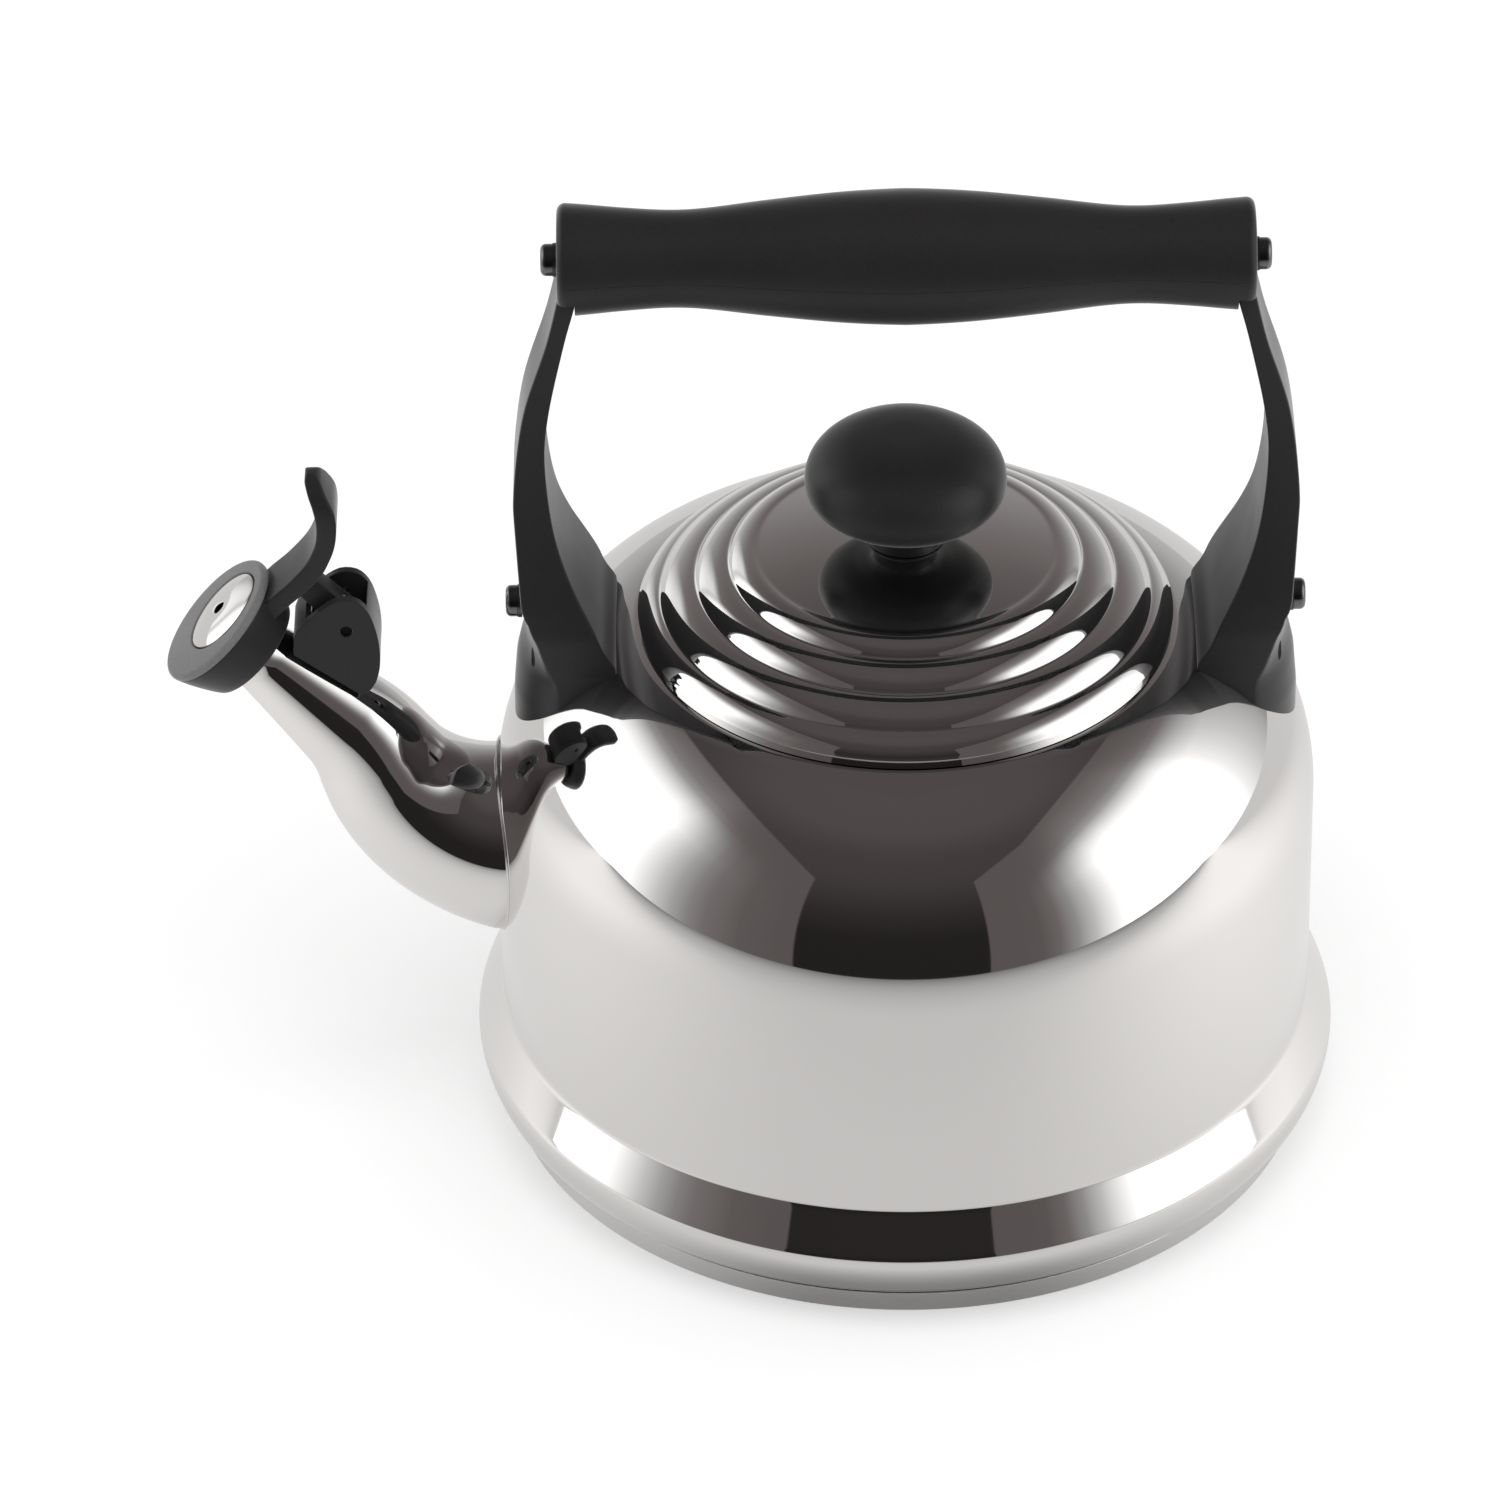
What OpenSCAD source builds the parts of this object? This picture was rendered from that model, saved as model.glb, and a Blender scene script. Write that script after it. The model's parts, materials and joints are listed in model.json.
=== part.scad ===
// Stovetop whistling kettle: a steel body with a welded spout, a lift-off ribbed lid,
// a fixed handle on two brackets, and a hinged whistle cap that a spring holds shut.
// Millimetres, +Z up, origin at the middle of the base's underside, spout towards -X.

/* [Base] */
// Radius of the flat face that stands on the hob
base_r = 97.8; // [90:0.1:98.4]
// Height of the base cap's side
base_cap_h = 6.0; // [4:0.1:9]
// Thickness of the base cap's sheet
base_cap_t = 0.8; // [0.5:0.1:1.2]
// How far the base cap's side leans outwards
base_cap_lean = 0.9; // [0:0.1:1.5]
// Open groove between the base cap's rim and the body
base_groove = 0.4; // [0.2:0.1:1]

/* [Body] */
// Outer radius of the body's upright wall
body_r = 99; // [92:0.5:108]
// Thickness of the body's sheet
body_t = 1.0; // [0.6:0.1:1.4]
// How far the flare stands out from the wall
flare_out = 6.0; // [3:0.1:9]
// Height of the flare's widest line
flare_z = 18.3; // [15:0.1:22]
// Height of the crease between the flare and the wall
crease_z = 31.3; // [26:0.1:36]
// Height where the wall turns into the shoulder
shoulder_z = 88; // [80:0.5:98]
// Radius of the shoulder's curve, in section
shoulder_arc_r = 50; // [46:0.5:54]
// Radius of the filling opening, inside its turned-down neck
opening_r = 56; // [50:0.5:58]
// Depth of the turned-down neck
neck_h = 7; // [4:0.5:12]

/* [Lid] */
// Outer radius of the lid's rim
lid_r = 64.2; // [61:0.1:67]
// Thickness of the lid's sheet
lid_t = 0.9; // [0.6:0.1:1.2]
// Height of the lid's upright rim
lid_rim_h = 2.4; // [1.5:0.1:4]
// How far each rib bulges above the line between its creases
rib_bulge = 1.2; // [0.6:0.1:1.6]
// Rise of the dome inside the ribs
dome_rise = 3.0; // [2:0.1:5]
// Depth of the skirt that centres the lid in the opening
skirt_h = 8; // [5:0.5:14]

/* [Knob] */
// Largest radius of the knob
knob_r = 24.1; // [20:0.1:28]
// Height of the knob's head
knob_head_h = 22.6; // [18:0.1:26]
// Radius of the knob's neck
knob_neck_r = 8.2; // [7.5:0.1:10]
// Length of the knob's neck
knob_neck_h = 6.6; // [5:0.1:9]
// Thread radius of the knob's screw
knob_screw_r = 2.5; // [2:0.5:3]
// Length of the knob's screw below its head
knob_screw_l = 16; // [12:0.5:18]

/* [Spout] */
// Height of the spout's root on the body
spout_z = 71.2; // [66:0.1:76]
// Outer radius at the spout's root
spout_root_r = 23.3; // [20:0.1:25]
// Outer radius at the spout's mouth
spout_tip_r = 8.8; // [8:0.1:10]
// Thickness of the spout's sheet
spout_t = 1.0; // [0.6:0.1:1.4]
// Radius of the lower bend
bend_low_r = 39; // [36:0.5:44]
// Steepest slope between the bends, in degrees
spout_steep = 62; // [56:0.5:66]
// Straight length between the bends
spout_mid = 6; // [3:0.5:10]
// Radius of the upper bend
bend_high_r = 37; // [32:0.5:44]
// Slope of the spout's mouth, in degrees
mouth_slope = 44.5; // [40:0.5:48]
// Straight length behind the mouth
spout_end = 33.8; // [30:0.1:38]

/* [Handle] */
// Height of the grip's axis
grip_z = 237.4; // [231:0.1:250]
// Half of the grip's length
grip_half = 81.7; // [78:0.1:86]
// Grip radius at its middle
grip_mid_r = 16.05; // [15:0.05:17.5]
// Grip radius at its waists
grip_waist_r = 11.5; // [10.8:0.1:13]
// Grip radius at its ends
grip_end_r = 13.3; // [12.6:0.1:15]
// Rounding of the grip's end edges
grip_edge = 2.0; // [1:0.1:3]
// Thickness of a bracket's tip
bracket_t = 4.0; // [3.5:0.1:5]
// Half of a bracket's width at its tip
bracket_tip_w = 9.4; // [8.5:0.1:10]
// Half of a bracket's width at its foot
bracket_foot_w = 20.2; // [17:0.1:23]
// Height of the lower screws, on the bracket's outer face
foot_screw_z = 140.5; // [139:0.1:143]
// Thread radius of the handle's screws
screw_r = 2.0; // [1.5:0.1:2.2]
// Head radius of the handle's screws
screw_head_r = 3.8; // [3.4:0.1:4.5]
// Head height of the handle's screws
screw_head_h = 2.9; // [2:0.1:3.5]
// Thickness of the screws' lock washers
washer_t = 1.0; // [0.6:0.1:1.4]

/* [Whistle] */
// Outer radius of the whistle cap
cap_r = 17.4; // [16.5:0.1:18]
// Distance from the spout's mouth to the cap's front face
cap_ahead = 9.2; // [8:0.1:10]
// Length of the cap that sleeves over the spout
cap_sleeve = 3.5; // [2.5:0.1:4]
// Thickness of the cap's front ring
bezel_t = 1.9; // [1.5:0.1:2.5]
// Radius of the whistle plates
plate_r = 10.8; // [9.5:0.1:11.2]
// How far above the cap's centre the whistle plates sit
plate_shift = 3.0; // [0:0.1:3.2]
// Thickness of the whistle plates
plate_t = 0.5; // [0.4:0.1:0.8]
// Radius of the whistle holes
whistle_hole_r = 1.65; // [1:0.05:2]
// Thickness of the seal on the mouth
seal_t = 1.6; // [1.2:0.1:2]
// Half of the lever's width
lever_w = 7.4; // [6.8:0.1:8]

/* [Hinge] */
// Height of the hinge pin above the spout's centre line
pin_up = 22.7; // [22.4:0.1:24.2]
// Distance of the hinge pin behind the mouth
pin_back = 13.2; // [13.1:0.1:13.9]
// Radius of the hinge pin
pin_r = 1.5; // [1.2:0.1:1.8]
// Half of the hinge block's width
block_w = 7.2; // [7:0.1:8.5]
// Half of the slot between the block's cheeks
slot_w = 5.1; // [5:0.1:5.4]
// Half of the knuckle's width
knuckle_w = 2.8; // [2.2:0.1:2.9]
// Radius of the knuckle around the pin
knuckle_r = 3.6; // [3.2:0.1:4]
// Radius of the spring's wire
spring_wire_r = 0.35; // [0.25:0.05:0.4]

/* [Clearances] */
// Gap between pieces that move past each other
run_gap = 0.3; // [0.2:0.05:0.5]
// Gap around a piece that sits in a pocket of its neighbour
fit_gap = 0.1; // [0.05:0.05:0.2]
// Radial gap between the hinge pin and the knuckle
pin_gap = 0.05; // [0.03:0.01:0.08]

/* [Hidden] */
$fn = 96;
steel = "#c3c3c1";
black = "#262425";
brass = "#b8974a";
far = 400;
// Space left at pressed and welded faces
weld_gap = 0.02;
// How far the hinge pin lies inside the cheeks
pin_sink = 0.6;

// ---- outline helpers ----

// Points on an arc, angles in degrees
function arc(cx, cy, r, a0, a1, n) =
    [for (i = [0:n]) let (a = a0 + (a1 - a0) * i / n) [cx + r * cos(a), cy + r * sin(a)]];

// Arc from p to q that bulges to the left of the line between them
function bulge_arc(p, q, s, n) =
    let (c = norm(q - p), r = (c * c / 4 + s * s) / (2 * s), u = (q - p) / c,
         left = [-u[1], u[0]], m = (p + q) / 2 - left * (r - s), half = asin(c / 2 / r))
    [for (i = [1:n]) let (a = half * (2 * i / n - 1)) m + r * (left * cos(a) + u * sin(a))];

// A smooth curve through the given points, n steps between each two
function smooth(p, n) =
    let (k = len(p) - 1)
    concat([for (i = [0:k - 1], j = [0:n - 1])
        let (t = j / n, a = p[max(i - 1, 0)], b = p[i], c = p[i + 1], d = p[min(i + 2, k)])
        0.5 * (2 * b + (c - a) * t + (2 * a - 5 * b + 4 * c - d) * t * t
               + (3 * b - a - 3 * c + d) * t * t * t)], [p[k]]);

function unit(v) = v / norm(v);

// The same outline moved sideways by t, to the left of its direction
function inset_path(p, t) =
    [for (i = [0:len(p) - 1])
        let (d = unit(p[min(i + 1, len(p) - 1)] - p[max(i - 1, 0)])) p[i] + t * [-d[1], d[0]]];

function reversed(p) = [for (i = [len(p) - 1:-1:0]) p[i]];

function flip_y(p) = [for (q = p) [-q[0], q[1]]];

// A sheet-metal wall: the outline and its inset, closed
module wall(path, t) { rotate_extrude() polygon(concat(path, reversed(inset_path(path, t)))); }

// ---- body outline ----

floor_z = base_cap_h + base_groove;
foot_r = base_r + 0.8;
flare_r = body_r + flare_out;
shoulder_cr = body_r - shoulder_arc_r;
seat_r = lid_r + run_gap;
seat_angle = acos((seat_r - shoulder_cr) / shoulder_arc_r);
seat_z = shoulder_z + shoulder_arc_r * sin(seat_angle);
neck_round = 1.5;
flare_low_r = (pow(flare_r - foot_r, 2) + pow(flare_z - floor_z, 2)) / (2 * (flare_r - foot_r));
// Above its widest line the flare is rounded over, then runs straight up to the crease
flare_round = min(6, (crease_z - flare_z) / 2);
flare_rise = [flare_round - flare_out, crease_z - flare_z];
flare_turn = atan2(flare_rise[1], flare_rise[0]) - acos(flare_round / norm(flare_rise));

body_path = concat(
    [[0, floor_z]],
    arc(flare_r - flare_low_r, flare_z, flare_low_r, -asin((flare_z - floor_z) / flare_low_r), 0, 7),
    arc(flare_r - flare_round, flare_z, flare_round, 5, flare_turn, 5),
    [[body_r, crease_z]],
    arc(shoulder_cr, shoulder_z, shoulder_arc_r, 0, seat_angle, 16),
    arc(opening_r + neck_round, seat_z - neck_round, neck_round, 90, 180, 4),
    [[opening_r, seat_z - neck_h]]);

// Everything inside the body's outer surface, grown by g
module body_solid(g) {
    rotate_extrude() polygon(concat(inset_path(body_path, -g), [[0, seat_z - neck_h]]));
}

module body_shell() color(steel) difference() {
    wall(body_path, body_t);
    translate([-spout_cross_x, 0, spout_cross_z]) rotate([0, -90 + spout_cross_a, 0])
        cylinder(r = spout_root_r + run_gap, h = 40, center = true);
}

module base_core() color("#9a9a98")
    translate([0, 0, base_cap_t]) cylinder(r = base_r - base_cap_t - fit_gap, h = floor_z - base_cap_t);

module base_cap() color("#8b8b88")
    rotate_extrude() polygon([[0, 0], [base_r, 0], [base_r + base_cap_lean, base_cap_h],
        [base_r + base_cap_lean - base_cap_t, base_cap_h], [base_r - base_cap_t, base_cap_t],
        [0, base_cap_t]]);

// ---- spout ----

// The centre line is an arc up, a straight and an arc back, then a straight to the mouth
spout_start_a = 2;
spout_root_x = body_r - 6.4;
steps_low = 12;
steps_high = 5;
steps_end = 6;

function bend_point(p, r, a0, a) = p + r * [sin(a) - sin(a0), cos(a0) - cos(a)];
function slope_dir(a) = [cos(a), sin(a)];
low_end = bend_point([spout_root_x, spout_z], bend_low_r, spout_start_a, spout_steep);
high_start = low_end + spout_mid * slope_dir(spout_steep);
high_end = high_start + bend_high_r * [sin(spout_steep) - sin(mouth_slope),
                                       cos(mouth_slope) - cos(spout_steep)];
mouth = high_end + spout_end * slope_dir(mouth_slope);

// Stations along the centre line: distance out, height, slope
stations = concat(
    [for (i = [0:steps_low]) let (a = spout_start_a + (spout_steep - spout_start_a) * i / steps_low)
        concat(bend_point([spout_root_x, spout_z], bend_low_r, spout_start_a, a), [a])],
    [for (i = [0:steps_high]) let (a = spout_steep + (mouth_slope - spout_steep) * i / steps_high,
        q = high_start + bend_high_r * [sin(spout_steep) - sin(a), cos(a) - cos(spout_steep)])
        [q[0], q[1], a]],
    [for (i = [1:steps_end]) let (q = high_end + spout_end * i / steps_end * slope_dir(mouth_slope))
        [q[0], q[1], mouth_slope]]);
function run_to(i) = i == 0 ? 0 : run_to(i - 1) + norm([stations[i][0] - stations[i - 1][0],
                                                        stations[i][1] - stations[i - 1][1]]);
spout_len = run_to(len(stations) - 1);
// The root stays full width through the wall, and the last stretch inside the cap is straight
spout_stub = 5;
spout_plain_end = 6.7;
spout_taper_power = 1.1;
function spout_r(s) =
    let (f = 1 - (s - spout_stub) / (spout_len - spout_stub - spout_plain_end))
    f >= 1 ? spout_root_r : f <= 0 ? spout_tip_r
    : spout_tip_r + (spout_root_r - spout_tip_r) * pow(f, spout_taper_power);

// Where the spout's centre line crosses the wall, and its slope there
spout_cross_a = spout_start_a + (body_r - spout_root_x) / bend_low_r * 180 / PI;
spout_cross_x = body_r;
spout_cross_z = bend_point([spout_root_x, spout_z], bend_low_r, spout_start_a, spout_cross_a)[1];

module spout_tube() {
    sides = 48;
    n = len(stations);
    pts = [for (w = [0, 1], i = [0:n - 1], k = [0:sides - 1])
        let (st = stations[i], r = spout_r(run_to(i)) - w * spout_t, a = 360 * k / sides)
        [-(st[0] - r * cos(a) * sin(st[2])), r * sin(a), st[1] + r * cos(a) * cos(st[2])]];
    function at(w, i, k) = (w * n + i) * sides + k % sides;
    sleeve = [for (i = [0:n - 2], k = [0:sides - 1])
        [at(0, i, k), at(0, i + 1, k), at(0, i + 1, k + 1), at(0, i, k + 1)]];
    bore = [for (i = [0:n - 2], k = [0:sides - 1])
        [at(1, i, k), at(1, i, k + 1), at(1, i + 1, k + 1), at(1, i + 1, k)]];
    root = [for (k = [0:sides - 1]) [at(0, 0, k), at(0, 0, k + 1), at(1, 0, k + 1), at(1, 0, k)]];
    lip = [for (k = [0:sides - 1])
        [at(0, n - 1, k), at(1, n - 1, k), at(1, n - 1, k + 1), at(0, n - 1, k + 1)]];
    color(steel) polyhedron(pts, concat(sleeve, bore, root, lip), convexity = 6);
}

// ---- frame at the spout's mouth: x is up from the centre line, z is out along it ----

module at_mouth() { translate([-mouth[0], 0, mouth[1]]) rotate([0, mouth_slope - 90, 0]) children(); }

// An outline in [up, out] numbers, given the half width w across the spout
module across(w, outline) { rotate([90, 0, 0]) linear_extrude(2 * w, center = true) polygon(outline); }

module pin_bore(r, l) {
    translate([pin_up, 0, -pin_back]) rotate([90, 0, 0]) cylinder(r = r, h = l, center = true);
}

// ---- hinge on the spout ----

saddle_w = 3.5;
saddle_out = [-24, -15];
saddle_top = 17.2;
rivet_r = 1.2;
rivet_half = 5.6;
rivet_up = 15.6;
rivet_back = 19.5;
// The slot for the knuckle: its floor, and the slope of the wall that the lever swings towards
slot_floor = 17.8;
slot_slope = 50;
slot_round = knuckle_r + 1;

// Radius of the spout at a place z out from the mouth, on the last straight
function end_r(z) = spout_r(spout_len + z);

module spout_end_solid(g) {
    translate([0, 0, -spout_end])
        cylinder(r1 = end_r(-spout_end) + g, r2 = spout_tip_r + g, h = spout_end - spout_plain_end);
}

module rivet(r) {
    translate([rivet_up, 0, -rivet_back]) rotate([90, 0, 0])
        cylinder(r = r, h = 2 * rivet_half, center = true);
}

module hinge_saddle() color("#a9a9a6") at_mouth() difference() {
    translate([0, -saddle_w, saddle_out[0]])
        cube([saddle_top, 2 * saddle_w, saddle_out[1] - saddle_out[0]]);
    spout_end_solid(weld_gap);
    rivet(rivet_r + weld_gap);
}

// Side outline of the block, from the mouth end over the pin and down the back
block_outline = concat(
    [[9, -8.8], [12.4, -5.6]],
    smooth([[14.6, -4.6], [18.5, -4.5], [23.1, -4.7], [27.9, -5.8], [30.6, -9], [30.5, -13],
            [28.2, -17.6], [24.8, -22.2], [20.6, -26.2], [17, -28.4]], 3),
    [[14.4, -29.1], [11.6, -28.4]]);

module hinge_block() color(black) at_mouth() difference() {
    across(block_w, block_outline);
    translate([pin_up, 0, -pin_back]) {
        across(slot_w, [[slot_floor - pin_up, 0], [slot_floor - pin_up, 30], [30, 30],
            slot_round * [cos(slot_slope), -sin(slot_slope)] + 24 * [sin(slot_slope), cos(slot_slope)],
            slot_round * [cos(slot_slope), -sin(slot_slope)], [0, 0]]);
        rotate([90, 0, 0]) cylinder(r = slot_round, h = 2 * slot_w, center = true);
    }
    pin_bore(pin_r + weld_gap, far);
    translate([0, -saddle_w - fit_gap, saddle_out[0] - fit_gap])
        cube([saddle_top + fit_gap, 2 * (saddle_w + fit_gap),
              saddle_out[1] - saddle_out[0] + 2 * fit_gap]);
    rivet(rivet_r + weld_gap);
    spout_end_solid(fit_gap);
}

module block_rivet() color("#a9a9a6") at_mouth() rivet(rivet_r);

// The pin's ends lie a little inside the cheeks
module hinge_pin() color("#8f8f8d") at_mouth() pin_bore(pin_r, 2 * (block_w - pin_sink));

// ---- return spring: two coils on the pin, a bridge on the slot's floor, legs on the knuckle ----

coil_r = pin_r + spring_wire_r + 0.35;
coil_turns = 1.5;
coil_in = knuckle_w + run_gap + spring_wire_r;
coil_out = slot_w - fit_gap - spring_wire_r;
bridge_out = 7.2;
leg_out = 4.6;
wire_sides = 8;

// One side of the spring, from the leg's end to the middle of the bridge: up, across, out
spring_half = concat(
    [[knuckle_r + spring_wire_r + weld_gap, knuckle_w - 2, leg_out],
     [knuckle_r + spring_wire_r + weld_gap, coil_in - 0.2, leg_out],
     [(knuckle_r + coil_r) / 2, coil_in, leg_out / 2]],
    [for (i = [0:coil_turns * 16]) let (a = -360 * i / 16)
        [coil_r * cos(a), coil_in + (coil_out - coil_in) * i / (coil_turns * 16), coil_r * sin(a)]],
    [[slot_floor - pin_up + spring_wire_r + weld_gap, coil_out, bridge_out / 2],
     [slot_floor - pin_up + spring_wire_r + weld_gap, coil_out, bridge_out - 0.6],
     [slot_floor - pin_up + spring_wire_r + weld_gap, coil_out - 0.6, bridge_out]]);
spring_path = concat(spring_half, [for (p = reversed(spring_half)) [p[0], -p[1], p[2]]]);

// A round wire along a path, its rings turned as little as the path allows
module wire(path, r, sides) {
    n = len(path);
    dirs = [for (i = [0:n - 1]) unit(path[min(i + 1, n - 1)] - path[max(i - 1, 0)])];
    sides_of = [for (i = 0, u = unit(cross(dirs[0], [0.3, 0.2, 1])); i < n;
        i = i + 1, u = i < n ? unit(u - (u * dirs[i]) * dirs[i]) : u) u];
    pts = [for (i = [0:n - 1], k = [0:sides - 1]) let (a = 360 * k / sides, v = cross(dirs[i], sides_of[i]))
        path[i] + r * (cos(a) * sides_of[i] + sin(a) * v)];
    polyhedron(pts, concat(
        [[for (k = [0:sides - 1]) k]], [[for (k = [sides - 1:-1:0]) (n - 1) * sides + k]],
        [for (i = [0:n - 2], k = [0:sides - 1])
            [i * sides + k, (i + 1) * sides + k,
             (i + 1) * sides + (k + 1) % sides, i * sides + (k + 1) % sides]]), convexity = 8);
}

module return_spring() color("silver") at_mouth() translate([pin_up, 0, -pin_back])
    wire(spring_path, spring_wire_r, wire_sides);

// ---- whistle cap, in the frame at the mouth ----

bezel_z = cap_ahead - bezel_t;
cap_rear_r = cap_r - 3.8;
sleeve_r = spout_tip_r + 2.4;
seal_z = run_gap;
shelf_z = seal_z + seal_t;
shelf_t = 1.2;
plate_z = shelf_z + shelf_t;
steam_r = 4;
seal_bore_r = spout_tip_r - spout_t - 0.6;
// The front plate stands a little proud of the ring, and its hole has a turned-in collar
dome_edge_z = cap_ahead + 0.1;
dome_top_z = cap_ahead + 1.2;
collar_h = 1.2;

// Side outline of the lever, front edge up to the tip and back edge down
lever_outline = concat(
    [[12, 2.5], [12, bezel_z]],
    smooth([[17.3, bezel_z], [23, 6.3], [29.4, 6.8], [33.3, 7.9], [36.6, 9.6], [40, 12.6],
            [42.5, 16], [44, 18.9], [45, 20.9]], 3),
    arc(46.6, 20, 1.8, 140, 0, 5),
    smooth([[48.1, 18.4], [47.1, 15.8], [45.6, 11.9], [43.2, 8.9], [40.3, 6.4], [36.7, 4.2],
            [33, 2.8], [30.2, 1.9]], 3),
    [[28.6, 1.5], [23.2, 1.5], [18.5, 2.5]]);

// Front outline of the lever: straight sides and a rounded tip
lever_front = let (half = smooth([[38, lever_w], [42, 0.97 * lever_w], [45, 0.8 * lever_w],
                                  [47.4, 0.45 * lever_w], [48.5, 0]], 4))
    concat([[8, lever_w]], half, [for (p = reversed(half)) [p[0], -p[1]]], [[8, -lever_w]]);

module whistle_cap() color(black) at_mouth() difference() {
    union() {
        rotate_extrude() polygon(concat([[0, -cap_sleeve]],
            arc(cap_rear_r - 0.8, 0.5 - cap_sleeve + 0.3, 0.8, -90, -30, 3),
            [[cap_r - 3.1, -1.4], [cap_r - 2, 1.3], [cap_r - 0.9, 4.4], [cap_r - 0.2, bezel_z], [0, bezel_z]]));
        intersection() {
            across(lever_w, lever_outline);
            translate([0, 0, -10]) linear_extrude(50) polygon(lever_front);
        }
        across(knuckle_w, [[pin_up - knuckle_r, -pin_back], [pin_up + knuckle_r, -pin_back],
            [pin_up + knuckle_r, 2.6], [pin_up - knuckle_r + 1.6, 2.6]]);
        translate([pin_up, 0, -pin_back]) rotate([90, 0, 0])
            cylinder(r = knuckle_r, h = 2 * knuckle_w, center = true);
    }
    translate([0, 0, -cap_sleeve - 1]) cylinder(r = sleeve_r, h = cap_sleeve + 1 + shelf_z);
    translate([plate_shift, 0, 0]) {
        cylinder(r = steam_r, h = far);
        translate([0, 0, plate_z]) cylinder(r = plate_r + fit_gap, h = far);
    }
    pin_bore(pin_r + pin_gap, far);
}

module whistle_bezel() color("#8e8e90") at_mouth() difference() {
    rotate_extrude() polygon(concat(
        [[0, bezel_z + weld_gap], [cap_r - 0.2, bezel_z + weld_gap]],
        arc(cap_r - 1.2, cap_ahead - 1.2, 1.2, 0, 90, 6), [[0, cap_ahead]]));
    translate([plate_shift, 0, 0]) rotate_extrude() polygon([[0, 0], [plate_r + 0.35, 0],
        [plate_r + 0.35, cap_ahead - 0.25], [plate_r + 0.7, cap_ahead + 0.1], [0, cap_ahead + 0.1]]);
}

module whistle_front_plate() {
    path = concat([[whistle_hole_r, dome_top_z - collar_h], [whistle_hole_r, dome_top_z - 0.15]],
        bulge_arc([whistle_hole_r + 0.15, dome_top_z], [plate_r - 0.5, dome_edge_z], 0.4, 10),
        [[plate_r, dome_edge_z - 0.5], [plate_r, plate_z + plate_t + 2 * weld_gap]]);
    color("#dcdcda") at_mouth() translate([plate_shift, 0, 0]) rotate_extrude()
        polygon(concat(path, reversed(inset_path(path, -plate_t))));
}

module whistle_rear_plate() color("#dcdcda") at_mouth() translate([plate_shift, 0, plate_z + weld_gap])
    ring(whistle_hole_r, plate_r, plate_t);

module whistle_seal() color("#6d6a68") at_mouth() translate([0, 0, seal_z - weld_gap])
    ring(seal_bore_r, sleeve_r - fit_gap, seal_t);

// ---- lid ----

lid_z = seat_z + run_gap;
rim_top_z = lid_z + lid_rim_h;
// The creases between the ribs: how far in from the rim, and how far above the seat
creases = [for (c = [[5.4, 6.9], [13.8, 11.8], [21.8, 16.3], [28.7, 19.8]])
    [lid_r - c[0], seat_z + c[1]]];
dome_z = creases[3][1] + dome_rise;
rim_edge = [lid_r - 0.35, rim_top_z + 0.25];
screw_hole_r = knob_screw_r + fit_gap;
dome_r = (pow(creases[3][0], 2) + pow(dome_rise, 2)) / (2 * dome_rise);
dome_edge_a = acos(creases[3][0] / dome_r);

lid_path = concat(
    arc(0, dome_z - dome_r, dome_r, acos(screw_hole_r / dome_r), dome_edge_a, 10),
    bulge_arc(creases[3], creases[2], rib_bulge, 8),
    bulge_arc(creases[2], creases[1], rib_bulge, 8),
    bulge_arc(creases[1], creases[0], rib_bulge, 8),
    bulge_arc(creases[0], rim_edge, rib_bulge * 0.6, 6),
    [[lid_r, rim_top_z - 0.3], [lid_r, lid_z]]);

module lid_shell() color(steel) rotate_extrude()
    polygon(concat(lid_path, reversed(inset_path(lid_path, -lid_t))));

skirt_r = opening_r - 2 * run_gap;
module lid_skirt() color(steel) rotate_extrude() polygon([[skirt_r - lid_t, lid_z - skirt_h],
    [skirt_r, lid_z - skirt_h], [skirt_r, lid_z], [lid_r - lid_t - fit_gap, lid_z],
    [lid_r - lid_t - fit_gap, lid_z + lid_t], [skirt_r - lid_t, lid_z + lid_t]]);

// Half outline of the knob, from the neck's foot round the head to the top
knob_outline = let (n = knob_neck_h, t = n + knob_head_h)
    concat([[0, 0], [knob_neck_r + 1.2, 0], [knob_neck_r + 1.2, 0.5]],
        smooth([[knob_neck_r + 0.2, 1.8], [knob_neck_r, 3.6], [knob_neck_r + 0.6, n - 0.7],
                [knob_neck_r + 4, n + 0.9], [knob_r - 5.5, n + 2.8], [knob_r - 1.3, n + 5.8],
                [knob_r, n + 9.4], [knob_r - 1, t - 8.4], [knob_r - 4.4, t - 4.4],
                [knob_r - 10.2, t - 1.4], [knob_r - 17, t - 0.2], [0, t]], 4));
insert_r = knob_screw_r + 1.5;
insert_l = 11;
// The washer's rim touches the underside of the dome
knob_washer_r = knob_screw_r + 3;
knob_washer_z = dome_z - dome_r + sqrt(pow(dome_r - lid_t, 2) - pow(knob_washer_r, 2))
    - weld_gap - washer_t;

module lid_knob() color(black) translate([0, 0, dome_z]) difference() {
    rotate_extrude() polygon(knob_outline);
    translate([0, 0, 0.5]) cylinder(r = insert_r + weld_gap, h = insert_l);
    translate([0, 0, -1]) cylinder(r = screw_hole_r, h = knob_screw_l + 1);
}

module knob_insert() color(brass) translate([0, 0, dome_z + 0.5])
    ring(knob_screw_r + weld_gap, insert_r, insert_l);

module knob_washer() color("#a9a9a6") translate([0, 0, knob_washer_z])
    ring(screw_hole_r, knob_washer_r, washer_t);

module knob_screw() color("#a9a9a6") translate([0, 0, knob_washer_z])
    screw(knob_screw_r, knob_screw_l, knob_screw_r + 2, 2.6);

// ---- screws ----

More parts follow.
